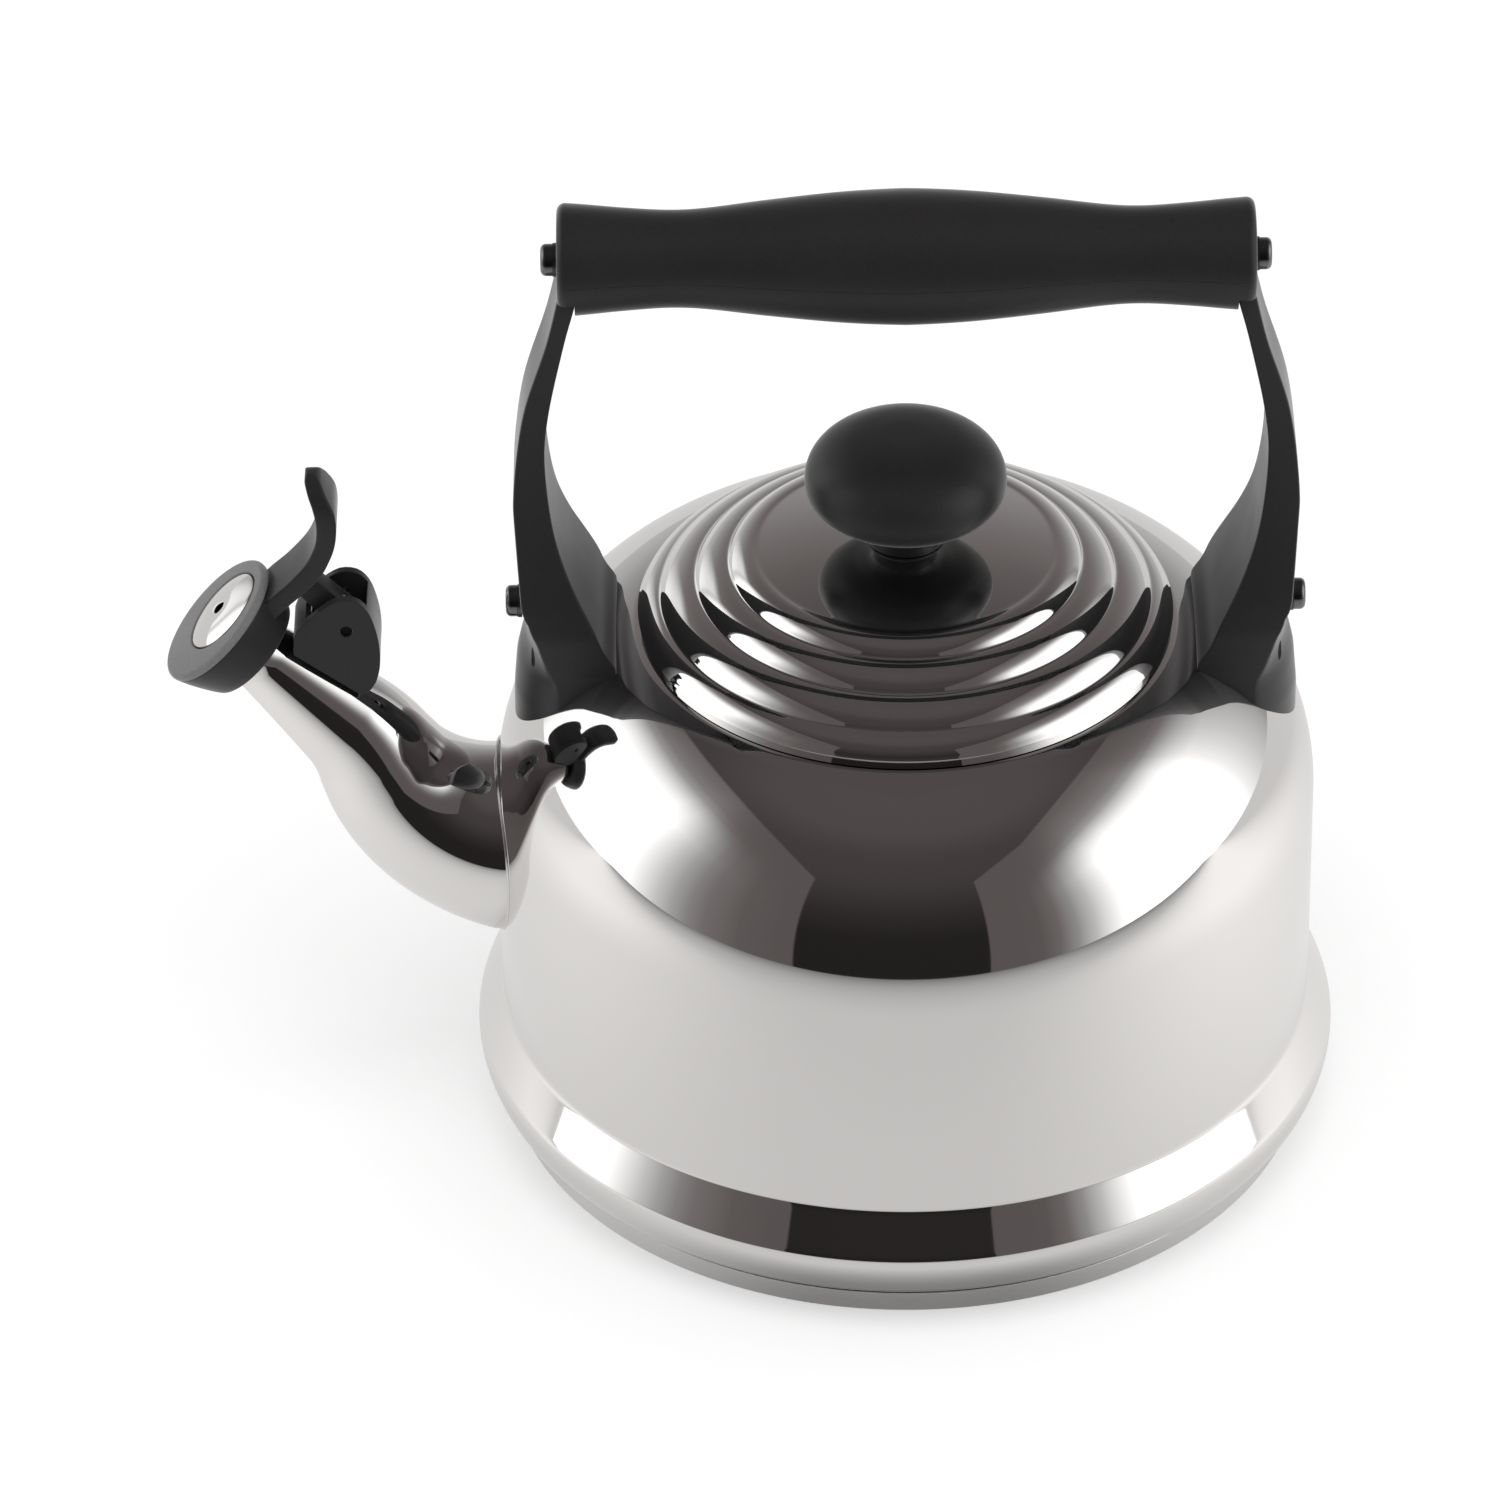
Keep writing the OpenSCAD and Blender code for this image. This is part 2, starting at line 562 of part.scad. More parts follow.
// A pan-head screw with a cross recess: its shank points up, its head lies below z = 0
module screw(r, l, head_r, head_h) difference() {
    union() {
        cylinder(r = r, h = l);
        rotate_extrude() polygon(concat([[0, 0], [head_r, 0]],
            arc(head_r - 1.3, 1.3 - head_h, 1.3, 0, -90, 5), [[0, -head_h]]));
    }
    for (a = [0, 90]) rotate(a) translate([-0.62 * head_r, -0.5, -head_h - 1])
        cube([1.24 * head_r, 1, 2.2]);
}

// Puts its children at x on both ends of the kettle, their +Z pointing inwards and +X up
module both_ends(x, z) {
    for (side = [0, 1]) mirror([side, 0, 0]) translate([x, 0, z]) rotate([0, -90, 0]) children();
}

module ring(r_in, r_out, h) difference() {
    cylinder(r = r_out, h = h);
    translate([0, 0, -1]) cylinder(r = r_in, h = h + 2);
}

// ---- handle ----

tip_x = grip_half;
foot_x = body_r - 4.8;
lip_x = lid_r + 5.1;
lug_x = body_r - 18.5;
lug_t = 3;
lug_w = 7;
lug_top = foot_screw_z + 6.5;
foot_face_x = foot_x - 2.3;
foot_screw_l = foot_face_x + washer_t - lug_x + lug_t / 2 + 2.5;
washer_r = screw_head_r + 0.2;

// Side outline of a bracket: the outer edge down from the tip, then the inner edge up
bracket_side = concat(
    [[tip_x, grip_z + 30]],
    smooth([[tip_x, grip_z - 5.5], [tip_x + 3, grip_z - 18.6], [foot_x - 3.7, grip_z - 38.3],
            [foot_x - 1.1, grip_z - 59.4], [foot_x - 1.5, grip_z - 73.4], [foot_x - 2.1, 150]], 4),
    [[foot_x - 2.3, 141], [foot_x - 1.1, 129], [foot_x, 116], [foot_x, 90], [lip_x, 90],
     [lip_x, seat_z - 2]],
    smooth([[lip_x + 0.5, seat_z - 0.8], [lip_x + 2.7, 138.2], [lip_x + 5.2, 144.5],
            [lip_x + 11, 157.5],
            [foot_x - 10.4, grip_z - 67.7], [foot_x - 8.8, grip_z - 51.4],
            [foot_x - 9.8, grip_z - 38.3], [tip_x - 1.3, grip_z - 18.7],
            [tip_x - bracket_t, grip_z - 8.1]], 4),
    [[tip_x - bracket_t, grip_z + 30]]);

// Front outline of a bracket: half widths up from the foot, then the round tip
bracket_front = let (w = bracket_foot_w, v = bracket_tip_w, half = concat([[w, 90]],
        smooth([[w, 142], [v + 9, 150], [v + 6.9, 157.2], [v + 4, 168], [v + 1.9, 180],
                [v + 0.6, 192], [v, 205]], 3),
        arc(0, grip_z, v, 0, 90, 12)))
    concat(half, flip_y(reversed(half)));

// The foot's outer face in plan: its height, how far out it stands, and its radius there.
// It is round like a D on the shoulder and flattens out below the screw.
foot_face = [[88, 0, 25], [119, 0, 25], [127, -0.9, 25.5], [130, -1.6, 28], [133, -2.4, 35], [136, -2.9, 44],
             [141, -2.5, 56], [146, -2.2, 96], [150, -1.8, 220], [280, 4, 400]];

module foot_plan(f) {
    translate([foot_x + f[1] - f[2], 0, f[0]]) cylinder(r = f[2], h = 0.1, $fn = 120);
}

module foot_envelope() for (i = [0:len(foot_face) - 2]) hull() {
    foot_plan(foot_face[i]);
    foot_plan(foot_face[i + 1]);
}

module bracket() difference() {
    intersection() {
        rotate([90, 0, 0]) linear_extrude(far, center = true) polygon(bracket_side);
        rotate([90, 0, 90]) linear_extrude(far) polygon(bracket_front);
        foot_envelope();
    }
    body_solid(weld_gap);
    translate([lug_x - lug_t / 2 - fit_gap, -lug_w - fit_gap, 90])
        cube([lug_t + 2 * fit_gap, 2 * (lug_w + fit_gap), lug_top + fit_gap - 90]);
    // Screw hole and the flat under the washer
    translate([foot_face_x, 0, foot_screw_z]) rotate([0, 90, 0]) {
        translate([0, 0, -foot_screw_l]) cylinder(r = screw_r + fit_gap, h = far);
        cylinder(r = washer_r + 0.4, h = far);
    }
    translate([0, 0, grip_z]) rotate([0, 90, 0]) cylinder(r = screw_r + fit_gap, h = far);
}

module rear_bracket() color(black) bracket();
module front_bracket() color(black) mirror([1, 0, 0]) bracket();

module lug() difference() {
    translate([lug_x - lug_t / 2, -lug_w, 90]) cube([lug_t, 2 * lug_w, lug_top - 90]);
    body_solid(weld_gap);
    translate([0, 0, foot_screw_z]) rotate([0, 90, 0]) cylinder(r = screw_r + weld_gap, h = far);
}

module rear_lug() color("#a9a9a6") lug();
module front_lug() color("#a9a9a6") mirror([1, 0, 0]) lug();

module foot_screws() color("#6f6e70") both_ends(foot_face_x + washer_t, foot_screw_z)
    screw(screw_r, foot_screw_l, screw_head_r, screw_head_h);

module foot_washers() color("#55555a") both_ends(foot_face_x + washer_t, foot_screw_z)
    ring(screw_r + fit_gap, washer_r, washer_t);

// Half outline of the grip from its middle to its end: distance along, radius
grip_path = concat(
    smooth([[-8, grip_mid_r - 0.3], [0, grip_mid_r], [15, grip_mid_r - 0.7], [32, grip_mid_r - 2.4],
            [47, grip_waist_r + 0.35], [56, grip_waist_r], [66, grip_waist_r + 0.6],
            [grip_half - 7, grip_end_r - 0.4], [grip_half - grip_edge, grip_end_r]], 4),
    arc(grip_half - grip_edge, grip_end_r - grip_edge, grip_edge, 90, 0, 5));
grip_half_path = [for (p = grip_path) if (p[0] >= 0) p];
slot_x = grip_half - bracket_t - fit_gap;
grip_insert_r = screw_r + 1.2;
grip_insert_l = 12;
grip_screw_l = washer_t + bracket_t + 11;

module handle_grip() color(black) difference() {
    translate([0, 0, grip_z]) rotate([0, 90, 0]) rotate_extrude() polygon(concat(
        [[0, -grip_half]], [for (p = reversed(grip_half_path)) [p[1], -p[0]]],
        [for (p = grip_half_path) [p[1], p[0]]], [[0, grip_half]]));
    both_ends(slot_x, grip_z) {
        // Cut-away under the end, slot for the bracket's tip, bore for the insert
        translate([-45.4, -40, -far]) cube([40, 80, far]);
        translate([-40, -bracket_tip_w - fit_gap, -far])
            cube([40, 2 * (bracket_tip_w + fit_gap), far]);
        translate([0, 0, -far]) cylinder(r = bracket_tip_w + fit_gap, h = far);
        translate([0, 0, -1]) cylinder(r = grip_insert_r + weld_gap, h = grip_insert_l + 1);
        cylinder(r = screw_r + fit_gap, h = grip_insert_l + 3);
    }
}

module grip_inserts() color(brass) both_ends(slot_x, grip_z)
    ring(screw_r + weld_gap, grip_insert_r, grip_insert_l);

module grip_screws() color("#6f6e70") both_ends(grip_half + washer_t, grip_z)
    screw(screw_r, grip_screw_l, screw_head_r, screw_head_h);

module grip_washers() color("#55555a") both_ends(grip_half + washer_t, grip_z)
    ring(screw_r + fit_gap, washer_r, washer_t);

body_shell();
base_core();
base_cap();
spout_tube();
hinge_saddle();
hinge_block();
block_rivet();
hinge_pin();
return_spring();
front_lug();
rear_lug();
front_bracket();
rear_bracket();
foot_screws();
foot_washers();
handle_grip();
grip_inserts();
grip_screws();
grip_washers();
lid_shell();
lid_skirt();
lid_knob();
knob_insert();
knob_screw();
knob_washer();
whistle_cap();
whistle_bezel();
whistle_front_plate();
whistle_rear_plate();
whistle_seal();
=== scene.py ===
"""Looks of the stovetop whistling kettle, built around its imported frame. Outlines are in millimetres."""
import json
import math

import bmesh
import bpy
from mathutils import Matrix, Vector


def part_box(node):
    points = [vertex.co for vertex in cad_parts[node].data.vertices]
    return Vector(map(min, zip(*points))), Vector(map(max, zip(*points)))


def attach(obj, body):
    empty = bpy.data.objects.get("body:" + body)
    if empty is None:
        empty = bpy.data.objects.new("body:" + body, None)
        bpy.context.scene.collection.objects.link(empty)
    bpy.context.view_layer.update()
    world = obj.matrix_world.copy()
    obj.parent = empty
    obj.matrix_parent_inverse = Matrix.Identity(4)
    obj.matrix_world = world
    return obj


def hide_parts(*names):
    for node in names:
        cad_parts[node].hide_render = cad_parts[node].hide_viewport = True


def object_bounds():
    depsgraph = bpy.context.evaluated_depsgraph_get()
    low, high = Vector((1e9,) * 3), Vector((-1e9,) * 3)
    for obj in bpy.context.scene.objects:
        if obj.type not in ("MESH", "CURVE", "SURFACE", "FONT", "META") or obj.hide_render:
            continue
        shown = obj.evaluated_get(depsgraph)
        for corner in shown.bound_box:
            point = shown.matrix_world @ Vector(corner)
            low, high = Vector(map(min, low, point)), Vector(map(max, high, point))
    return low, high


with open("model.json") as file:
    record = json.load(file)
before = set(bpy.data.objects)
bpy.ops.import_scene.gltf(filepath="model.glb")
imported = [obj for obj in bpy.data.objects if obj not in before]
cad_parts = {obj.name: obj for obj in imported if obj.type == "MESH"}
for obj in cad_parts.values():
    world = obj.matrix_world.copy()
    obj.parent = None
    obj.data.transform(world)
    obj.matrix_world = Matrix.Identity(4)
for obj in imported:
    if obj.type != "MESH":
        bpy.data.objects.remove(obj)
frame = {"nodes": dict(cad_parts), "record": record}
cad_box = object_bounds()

MM = 0.001

# ---------------------------------------------------------------- sizes, as in the part's source

body_low, body_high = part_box("body_shell")
lid_low, lid_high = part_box("lid_shell")
knob_low, knob_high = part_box("lid_knob")
base_cap_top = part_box("base_cap")[1].z

BASE_R = 97.8
BASE_LEAN = 0.9
BASE_H = base_cap_top / MM
BASE_SHEET = 0.8
SHEET = 1.0
FLARE_R = body_high.y / MM
WALL_R = FLARE_R - 6.0
FLARE_Z = 18.3
FLARE_ROUND = 6.0
CREASE_Z = 31.3
SHOULDER_Z = 88.0
SHOULDER_R = 50.0
SHOULDER_C = WALL_R - SHOULDER_R
OPENING_R = 56.0
NECK_H = 7.0
FLOOR_Z = body_low.z / MM
SEAT_Z = body_high.z / MM
NECK_ROUND = 1.5
RUN_GAP = 0.3
LID_R = lid_high.y / MM
LID_Z = lid_low.z / MM
LID_T = 0.9
RIM_H = 2.4
RIB_BULGE = 1.2
DOME_Z = knob_low.z / MM
KNOB_R = knob_high.y / MM
KNOB_H = (knob_high.z - knob_low.z) / MM
KNOB_NECK_R = 8.2
KNOB_NECK_H = 6.6
GRIP_Z = 237.4
GRIP_HALF = 81.7
FOOT_X = 94.2
FOOT_W = 20.2
TIP_W = 9.4
TIP_T = 4.0
LIP_X = LID_R + 5.1
FOOT_SCREW_Z = 140.5
FOOT_FACE_X = FOOT_X - 2.3
SCREW_HOLE_R = 2.6

SPOUT_ROOT_X = WALL_R - 6.4
SPOUT_Z = 71.2
SPOUT_ROOT_R = 23.3
SPOUT_TIP_R = 8.8
BEND_LOW_R = 39.0
BEND_HIGH_R = 37.0
START_SLOPE = math.radians(2)
STEEP_SLOPE = math.radians(62)
MOUTH_SLOPE = math.radians(44.5)
SPOUT_MID = 6.0
SPOUT_END = 33.8
CAP_R = 17.4
CAP_AHEAD = 9.2
CAP_SLEEVE = 3.5
BEZEL_T = 1.9
PLATE_R = 10.8
PLATE_SHIFT = 3.0
HOLE_R = 1.65
LEVER_W = 7.4
PIN_UP = 22.7
PIN_BACK = 13.2
KNUCKLE_W = 2.8
KNUCKLE_R = 3.6
WIRE_R = 0.35
SLOT_W = 5.1
SLOT_FLOOR = 17.8
STEAM_R = 4.0

# Steps round a turned piece, from the large mirror-bright ones to the small ones
FINE_TURN = 256
TURN = 192
MID_TURN = 160
SMALL_TURN = 128

# ---------------------------------------------------------------- outline helpers


def arc(cx, cy, r, start, end, n):
    """n + 1 points on an arc, angles in degrees."""
    turn = [math.radians(start + (end - start) * i / n) for i in range(n + 1)]
    return [Vector((cx + r * math.cos(a), cy + r * math.sin(a))) for a in turn]


def bulge_arc(p, q, rise, n):
    """Arc from p to q, bulging to the left of the way there. Leaves p out."""
    p, q = Vector(p), Vector(q)
    chord = (q - p).length
    r = (chord * chord / 4 + rise * rise) / (2 * rise)
    along = (q - p) / chord
    left = Vector((-along.y, along.x))
    middle = (p + q) / 2 - left * (r - rise)
    half = math.asin(chord / 2 / r)
    turn = [half * (2 * i / n - 1) for i in range(1, n + 1)]
    return [middle + r * (left * math.cos(a) + along * math.sin(a)) for a in turn]


def smooth_curve(points, n):
    """A smooth curve through the points, n steps between each two."""
    p = [Vector(q) for q in points]
    last = len(p) - 1
    curve = []
    for i in range(last):
        a, b, c, d = p[max(i - 1, 0)], p[i], p[i + 1], p[min(i + 2, last)]
        for j in range(n):
            t = j / n
            curve.append(0.5 * (2 * b + (c - a) * t + (2 * a - 5 * b + 4 * c - d) * t * t
                                + (3 * b - a - 3 * c + d) * t * t * t))
    return curve + [p[-1]]


def value_at(curve, x):
    """Height of a curve of (x, value) points at x, by straight lines between its points."""
    for a, b in zip(curve, curve[1:]):
        if a[0] <= x <= b[0]:
            return a[1] + (b[1] - a[1]) * (x - a[0]) / max(b[0] - a[0], 1e-9)
    return curve[0][1] if x < curve[0][0] else curve[-1][1]


def inset(path, t):
    """The same outline moved by t to the left of its direction."""
    moved = []
    for i, p in enumerate(path):
        d = Vector(path[min(i + 1, len(path) - 1)]) - Vector(path[max(i - 1, 0)])
        d.normalize()
        moved.append(Vector(p) + t * Vector((-d.y, d.x)))
    return moved


def soften(path, corner, reach, n=5):
    """The outline with the corner nearest to the given point rounded, from reach before it to reach after."""
    path = [Vector(p) for p in path]
    k = min(range(len(path)), key=lambda i: (path[i] - Vector(corner)).length)
    p = path[k]
    before, after = path[:k], path[k + 1:]
    while before and (before[-1] - p).length < reach:
        before.pop()
    while after and (after[0] - p).length < reach:
        after.pop(0)
    a = p + (before[-1] - p).normalized() * reach
    b = p + (after[0] - p).normalized() * reach
    turn = [a * (1 - t) ** 2 + p * 2 * t * (1 - t) + b * t * t for t in [i / n for i in range(n + 1)]]
    return before + turn + after


# ---------------------------------------------------------------- mesh helpers

SHARP = math.radians(32)
EDGE_ANGLE = math.radians(40)
WHOLE_TURN = 2 * math.pi
MERGE_M = 2e-6
TINY_EDGE_M = 1e-7
FINISH = {}


def make_piece(name, bm, body, slot, nodes=(), place=None, finish=None):
    """Turns a bmesh into a piece that rides on a body and stands for CAD nodes.
    Its material is the slot's, or the finish where one is named."""
    bmesh.ops.remove_doubles(bm, verts=bm.verts, dist=MERGE_M)
    bmesh.ops.dissolve_degenerate(bm, edges=bm.edges, dist=TINY_EDGE_M)
    if place:
        bmesh.ops.transform(bm, matrix=place, verts=bm.verts)
    bmesh.ops.recalc_face_normals(bm, faces=bm.faces)
    for face in bm.faces:
        face.smooth = True
    mesh = bpy.data.meshes.new(name)
    bm.to_mesh(mesh)
    bm.free()
    mesh.set_sharp_from_angle(angle=SHARP)
    piece = bpy.data.objects.new(name, mesh)
    bpy.context.scene.collection.objects.link(piece)
    if slot:
        mesh.materials.append(FINISH[finish or slot])
        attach(piece, body)
    if nodes:
        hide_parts(*nodes)
    return piece


def turned(outline, steps=TURN, closed=True):
    """A bmesh spun about Z from an outline of (radius, height) in millimetres."""
    bm = bmesh.new()
    verts = [bm.verts.new((p[0] * MM, 0, p[1] * MM)) for p in outline]
    pairs = list(zip(verts, verts[1:])) + ([(verts[-1], verts[0])] if closed else [])
    edges = [bm.edges.new(pair) for pair in pairs]
    bmesh.ops.spin(bm, geom=verts + edges, cent=(0, 0, 0), axis=(0, 0, 1), dvec=(0, 0, 0),
                   angle=WHOLE_TURN, steps=steps, use_merge=True, use_duplicate=False)
    return bm


def lofted(sections, closed=False):
    """A bmesh through rings of points in millimetres, capped at both ends or closed into a loop."""
    bm = bmesh.new()
    count = len(sections[0])
    first = bmesh.ops.create_circle(bm, segments=count, radius=MM)["verts"]
    first = sorted(first, key=lambda v: math.atan2(v.co.y, v.co.x) % WHOLE_TURN)
    ring = first
    for vert, p in zip(ring, sections[0]):
        vert.co = Vector(p) * MM
    for section in sections[1:]:
        edges = [bm.edges.get((ring[i], ring[(i + 1) % count])) for i in range(count)]
        grown = bmesh.ops.extrude_edge_only(bm, edges=edges)["geom"]
        fresh = {v for v in grown if isinstance(v, bmesh.types.BMVert)}
        ring = [next(e.other_vert(v) for e in v.link_edges if e.other_vert(v) in fresh) for v in ring]
        for vert, p in zip(ring, section):
            vert.co = Vector(p) * MM
    if not closed:
        for loop in (first, ring):
            edges = [bm.edges.get((loop[i], loop[(i + 1) % count])) for i in range(count)]
            bmesh.ops.edgeloop_fill(bm, edges=edges)
    else:
        edges = [bm.edges.get((loop[i], loop[(i + 1) % count]))
                 for loop in (first, ring) for i in range(count)]
        bmesh.ops.bridge_loops(bm, edges=edges)
    return bm


def slab(outline, half, bevel):
    """A bmesh of an outline in [x, z], going half to each side of the middle plane, its edges rounded."""
    bm = bmesh.new()
    face = bm.faces.new([bm.verts.new((p[0] * MM, -half * MM, p[1] * MM)) for p in outline])
    grown = bmesh.ops.extrude_face_region(bm, geom=[face])["geom"]
    moved = [v for v in grown if isinstance(v, bmesh.types.BMVert)]
    bmesh.ops.translate(bm, vec=(0, 2 * half * MM, 0), verts=moved)
    bmesh.ops.recalc_face_normals(bm, faces=bm.faces)
    rim = [e for e in bm.edges if e.calc_face_angle(0) > EDGE_ANGLE]
    bmesh.ops.bevel(bm, geom=rim, offset=bevel * MM, offset_type="OFFSET", segments=3,
                    profile=0.5, affect="EDGES", material=-1, clamp_overlap=True)
    return bm


def loose_shape(bm, place=None):
    """A cutter: an object that is in no body and is removed once it has cut."""
    return make_piece("cutter", bm, None, None, place=place)


def carve(piece, cutter):
    """Takes a cutter's shape out of a piece and keeps the result as its mesh."""
    cut = piece.modifiers.new("cut", "BOOLEAN")
    cut.operation, cut.solver, cut.object = "DIFFERENCE", "EXACT", cutter
    bpy.context.view_layer.update()
    graph = bpy.context.evaluated_depsgraph_get()
    mesh = bpy.data.meshes.new_from_object(piece.evaluated_get(graph), depsgraph=graph)
    piece.modifiers.clear()
    old, piece.data = piece.data, mesh
    bpy.data.meshes.remove(old)
    bpy.data.objects.remove(cutter)
    for face in mesh.polygons:
        face.use_smooth = True
    mesh.set_sharp_from_angle(angle=SHARP)


def ease_edges(piece, width):
    """Rounds the edges of a piece by a small bevel."""
    bevel = piece.modifiers.new("eased edges", "BEVEL")
    bevel.width, bevel.segments, bevel.limit_method = width * MM, 3, "ANGLE"
    bevel.angle_limit = EDGE_ANGLE
    bevel.use_clamp_overlap = True
    bevel.harden_normals = True


def refined(node, name, body, slot, bevel):
    """A copy of a CAD node with its loose triangles joined, flat faces made whole and edges eased."""
    bm = bmesh.new()
    bm.from_mesh(frame["nodes"][node].data)
    bmesh.ops.remove_doubles(bm, verts=bm.verts, dist=3e-6)
    bmesh.ops.dissolve_limit(bm, angle_limit=math.radians(0.8), verts=bm.verts, edges=bm.edges)
    ease_edges(make_piece(name, bm, body, slot, [node]), bevel)


# ---------------------------------------------------------------- shader helpers


class Nodes:
    """Short calls for placing and joining shader nodes in one tree."""

    def __init__(self, tree):
        self.tree = tree

    def add(self, kind, **values):
        node = self.tree.nodes.new("ShaderNode" + kind)
        for key, value in values.items():
            setattr(node, key, value)
        return node

    def plug(self, socket, value):
        if isinstance(value, bpy.types.NodeSocket):
            self.tree.links.new(value, socket)
        elif value is not None:
            socket.default_value = value

    def calc(self, operation, a, b=None, c=None):
        node = self.add("Math", operation=operation)
        for socket, value in zip(node.inputs, (a, b, c)):
            self.plug(socket, value)
        return node.outputs[0]

    def length(self, a, b):
        return self.calc("SQRT", self.calc("ADD", self.calc("MULTIPLY", a, a), self.calc("MULTIPLY", b, b)))

    def fade(self, value, start, end, to_start=0.0, to_end=1.0):
        """Smooth step from to_start at start to to_end at end."""
        node = self.add("MapRange", interpolation_type="SMOOTHSTEP")
        for socket, v in zip(node.inputs, (value, start, end, to_start, to_end)):
            self.plug(socket, v)
        return node.outputs[0]

    def ramp(self, value, stops):
        """A grey ramp through (position, level) stops, both any numbers."""
        low, high = stops[0][0], stops[-1][0]
        top = max(level for _, level in stops)
        scaled = self.add("MapRange")
        for socket, v in zip(scaled.inputs, (value, low, high, 0.0, 1.0)):
            self.plug(socket, v)
        node = self.add("ValToRGB")
        elements = node.color_ramp.elements
        while len(elements) < len(stops):
            elements.new(0.5)
        for element, (position, level) in zip(elements, stops):
            element.position = (position - low) / (high - low)
            shade = level / top
            element.color = (shade, shade, shade, 1)
        self.plug(node.inputs[0], scaled.outputs[0])
        return self.calc("MULTIPLY", node.outputs[0], top)

    def blend_shades(self, factor, a, b):
        node = self.add("Mix", data_type="RGBA")
        self.plug(node.inputs[0], factor)
        self.plug(node.inputs[6], a)
        self.plug(node.inputs[7], b)
        return node.outputs[2]

    def noise(self, vector, scale, detail):
        node = self.add("TexNoise")
        for label, value in (("Vector", vector), ("Scale", scale), ("Detail", detail)):
            self.plug(node.inputs[label], value)
        return node.outputs["Fac"]


def surface_grain_group():
    """Group: fine moulded or polished grain as a height, and a slow cloudy variation as a mask."""
    group = bpy.data.node_groups.new("surface grain", "ShaderNodeTree")
    face = group.interface
    face.new_socket("Vector", in_out="INPUT", socket_type="NodeSocketVector")
    for label, value in (("Grain scale", 900.0), ("Cloud scale", 25.0)):
        face.new_socket(label, in_out="INPUT", socket_type="NodeSocketFloat").default_value = value
    for label in ("Grain", "Clouds"):
        face.new_socket(label, in_out="OUTPUT", socket_type="NodeSocketFloat")
    n = Nodes(group)
    ins, outs = group.nodes.new("NodeGroupInput"), group.nodes.new("NodeGroupOutput")
    for label, scale, detail in (("Grain", "Grain scale", 2.0), ("Clouds", "Cloud scale", 4.0)):
        n.plug(outs.inputs[label], n.noise(ins.outputs["Vector"], ins.outputs[scale], detail))
    return group


GRAIN_GROUP = surface_grain_group()


def start_finish(slot, **fixed):
    """A material with its shader, object coordinates and grain, ready for its own lines."""
    material = bpy.data.materials.new(slot.replace("_", " "))
    material.use_nodes = True
    tree = material.node_tree
    tree.nodes.clear()
    n = Nodes(tree)
    shader = n.add("BsdfPrincipled")
    n.plug(n.add("OutputMaterial").inputs["Surface"], shader.outputs[0])
    for socket, value in fixed.items():
        shader.inputs[socket.replace("_", " ")].default_value = value
    place = n.add("TexCoord").outputs["Object"]
    grain = n.add("Group")
    grain.node_tree = GRAIN_GROUP
    n.plug(grain.inputs["Vector"], place)
    FINISH[slot] = material
    return n, shader, place, grain


def bump(n, shader, height, strength, distance):
    node = n.add("Bump")
    node.inputs["Strength"].default_value = strength
    node.inputs["Distance"].default_value = distance
    n.plug(node.inputs["Height"], height)
    n.plug(shader.inputs["Normal"], node.outputs[0])


def polished_metal(slot, shade, low, high, cloud_scale, wave):
    """Mirror-bright sheet: faint clouds in its gloss and a very slow waviness."""
    n, shader, place, grain = start_finish(slot, Metallic=1.0)
    grain.inputs["Grain scale"].default_value = 1600.0
    grain.inputs["Cloud scale"].default_value = cloud_scale
    n.plug(shader.inputs["Roughness"], n.fade(grain.outputs["Clouds"], 0.3, 0.75, low, high))
    darker = tuple(0.985 * c for c in shade[:3]) + (1,)
    n.plug(shader.inputs["Base Color"], n.blend_shades(grain.outputs["Clouds"], shade, darker))
    bump(n, shader, n.noise(place, 9.0, 1.0), wave, 0.0004)


def brushed_metal(slot, shade, roughness, grain_scale, depth, stretch=(1, 1, 1)):
    """Satin or plain metal with fine marks, closer together along an axis where stretch says so."""
    n, shader, place, grain = start_finish(slot, Metallic=1.0)
    mapping = n.add("Mapping")
    n.plug(mapping.inputs["Vector"], place)
    mapping.inputs["Scale"].default_value = stretch
    n.plug(grain.inputs["Vector"], mapping.outputs[0])
    grain.inputs["Grain scale"].default_value = grain_scale
    grain.inputs["Cloud scale"].default_value = 60.0
    n.plug(shader.inputs["Roughness"],
           n.fade(grain.outputs["Clouds"], 0.25, 0.75, roughness * 0.85, roughness * 1.2))
    darker = tuple(0.88 * c for c in shade[:3]) + (1,)
    n.plug(shader.inputs["Base Color"], n.blend_shades(grain.outputs["Grain"], darker, shade))
    bump(n, shader, grain.outputs["Grain"], depth, 0.0002)


def moulded_resin(slot, shade, low, high, level, depth, sheen):
    """Moulded plastic or rubber: a fine grain in height and shade, and a cloudy gloss."""
    n, shader, _, grain = start_finish(slot, Specular_IOR_Level=level, Sheen_Weight=sheen,
                                       Sheen_Roughness=0.3)
    grain.inputs["Grain scale"].default_value = 1400.0
    grain.inputs["Cloud scale"].default_value = 40.0
    n.plug(shader.inputs["Roughness"], n.fade(grain.outputs["Clouds"], 0.3, 0.7, low, high))
    paler = tuple(1.5 * c for c in shade[:3]) + (1,)
    n.plug(shader.inputs["Base Color"], n.blend_shades(grain.outputs["Grain"], shade, paler))
    bump(n, shader, grain.outputs["Grain"], depth, 0.00015)


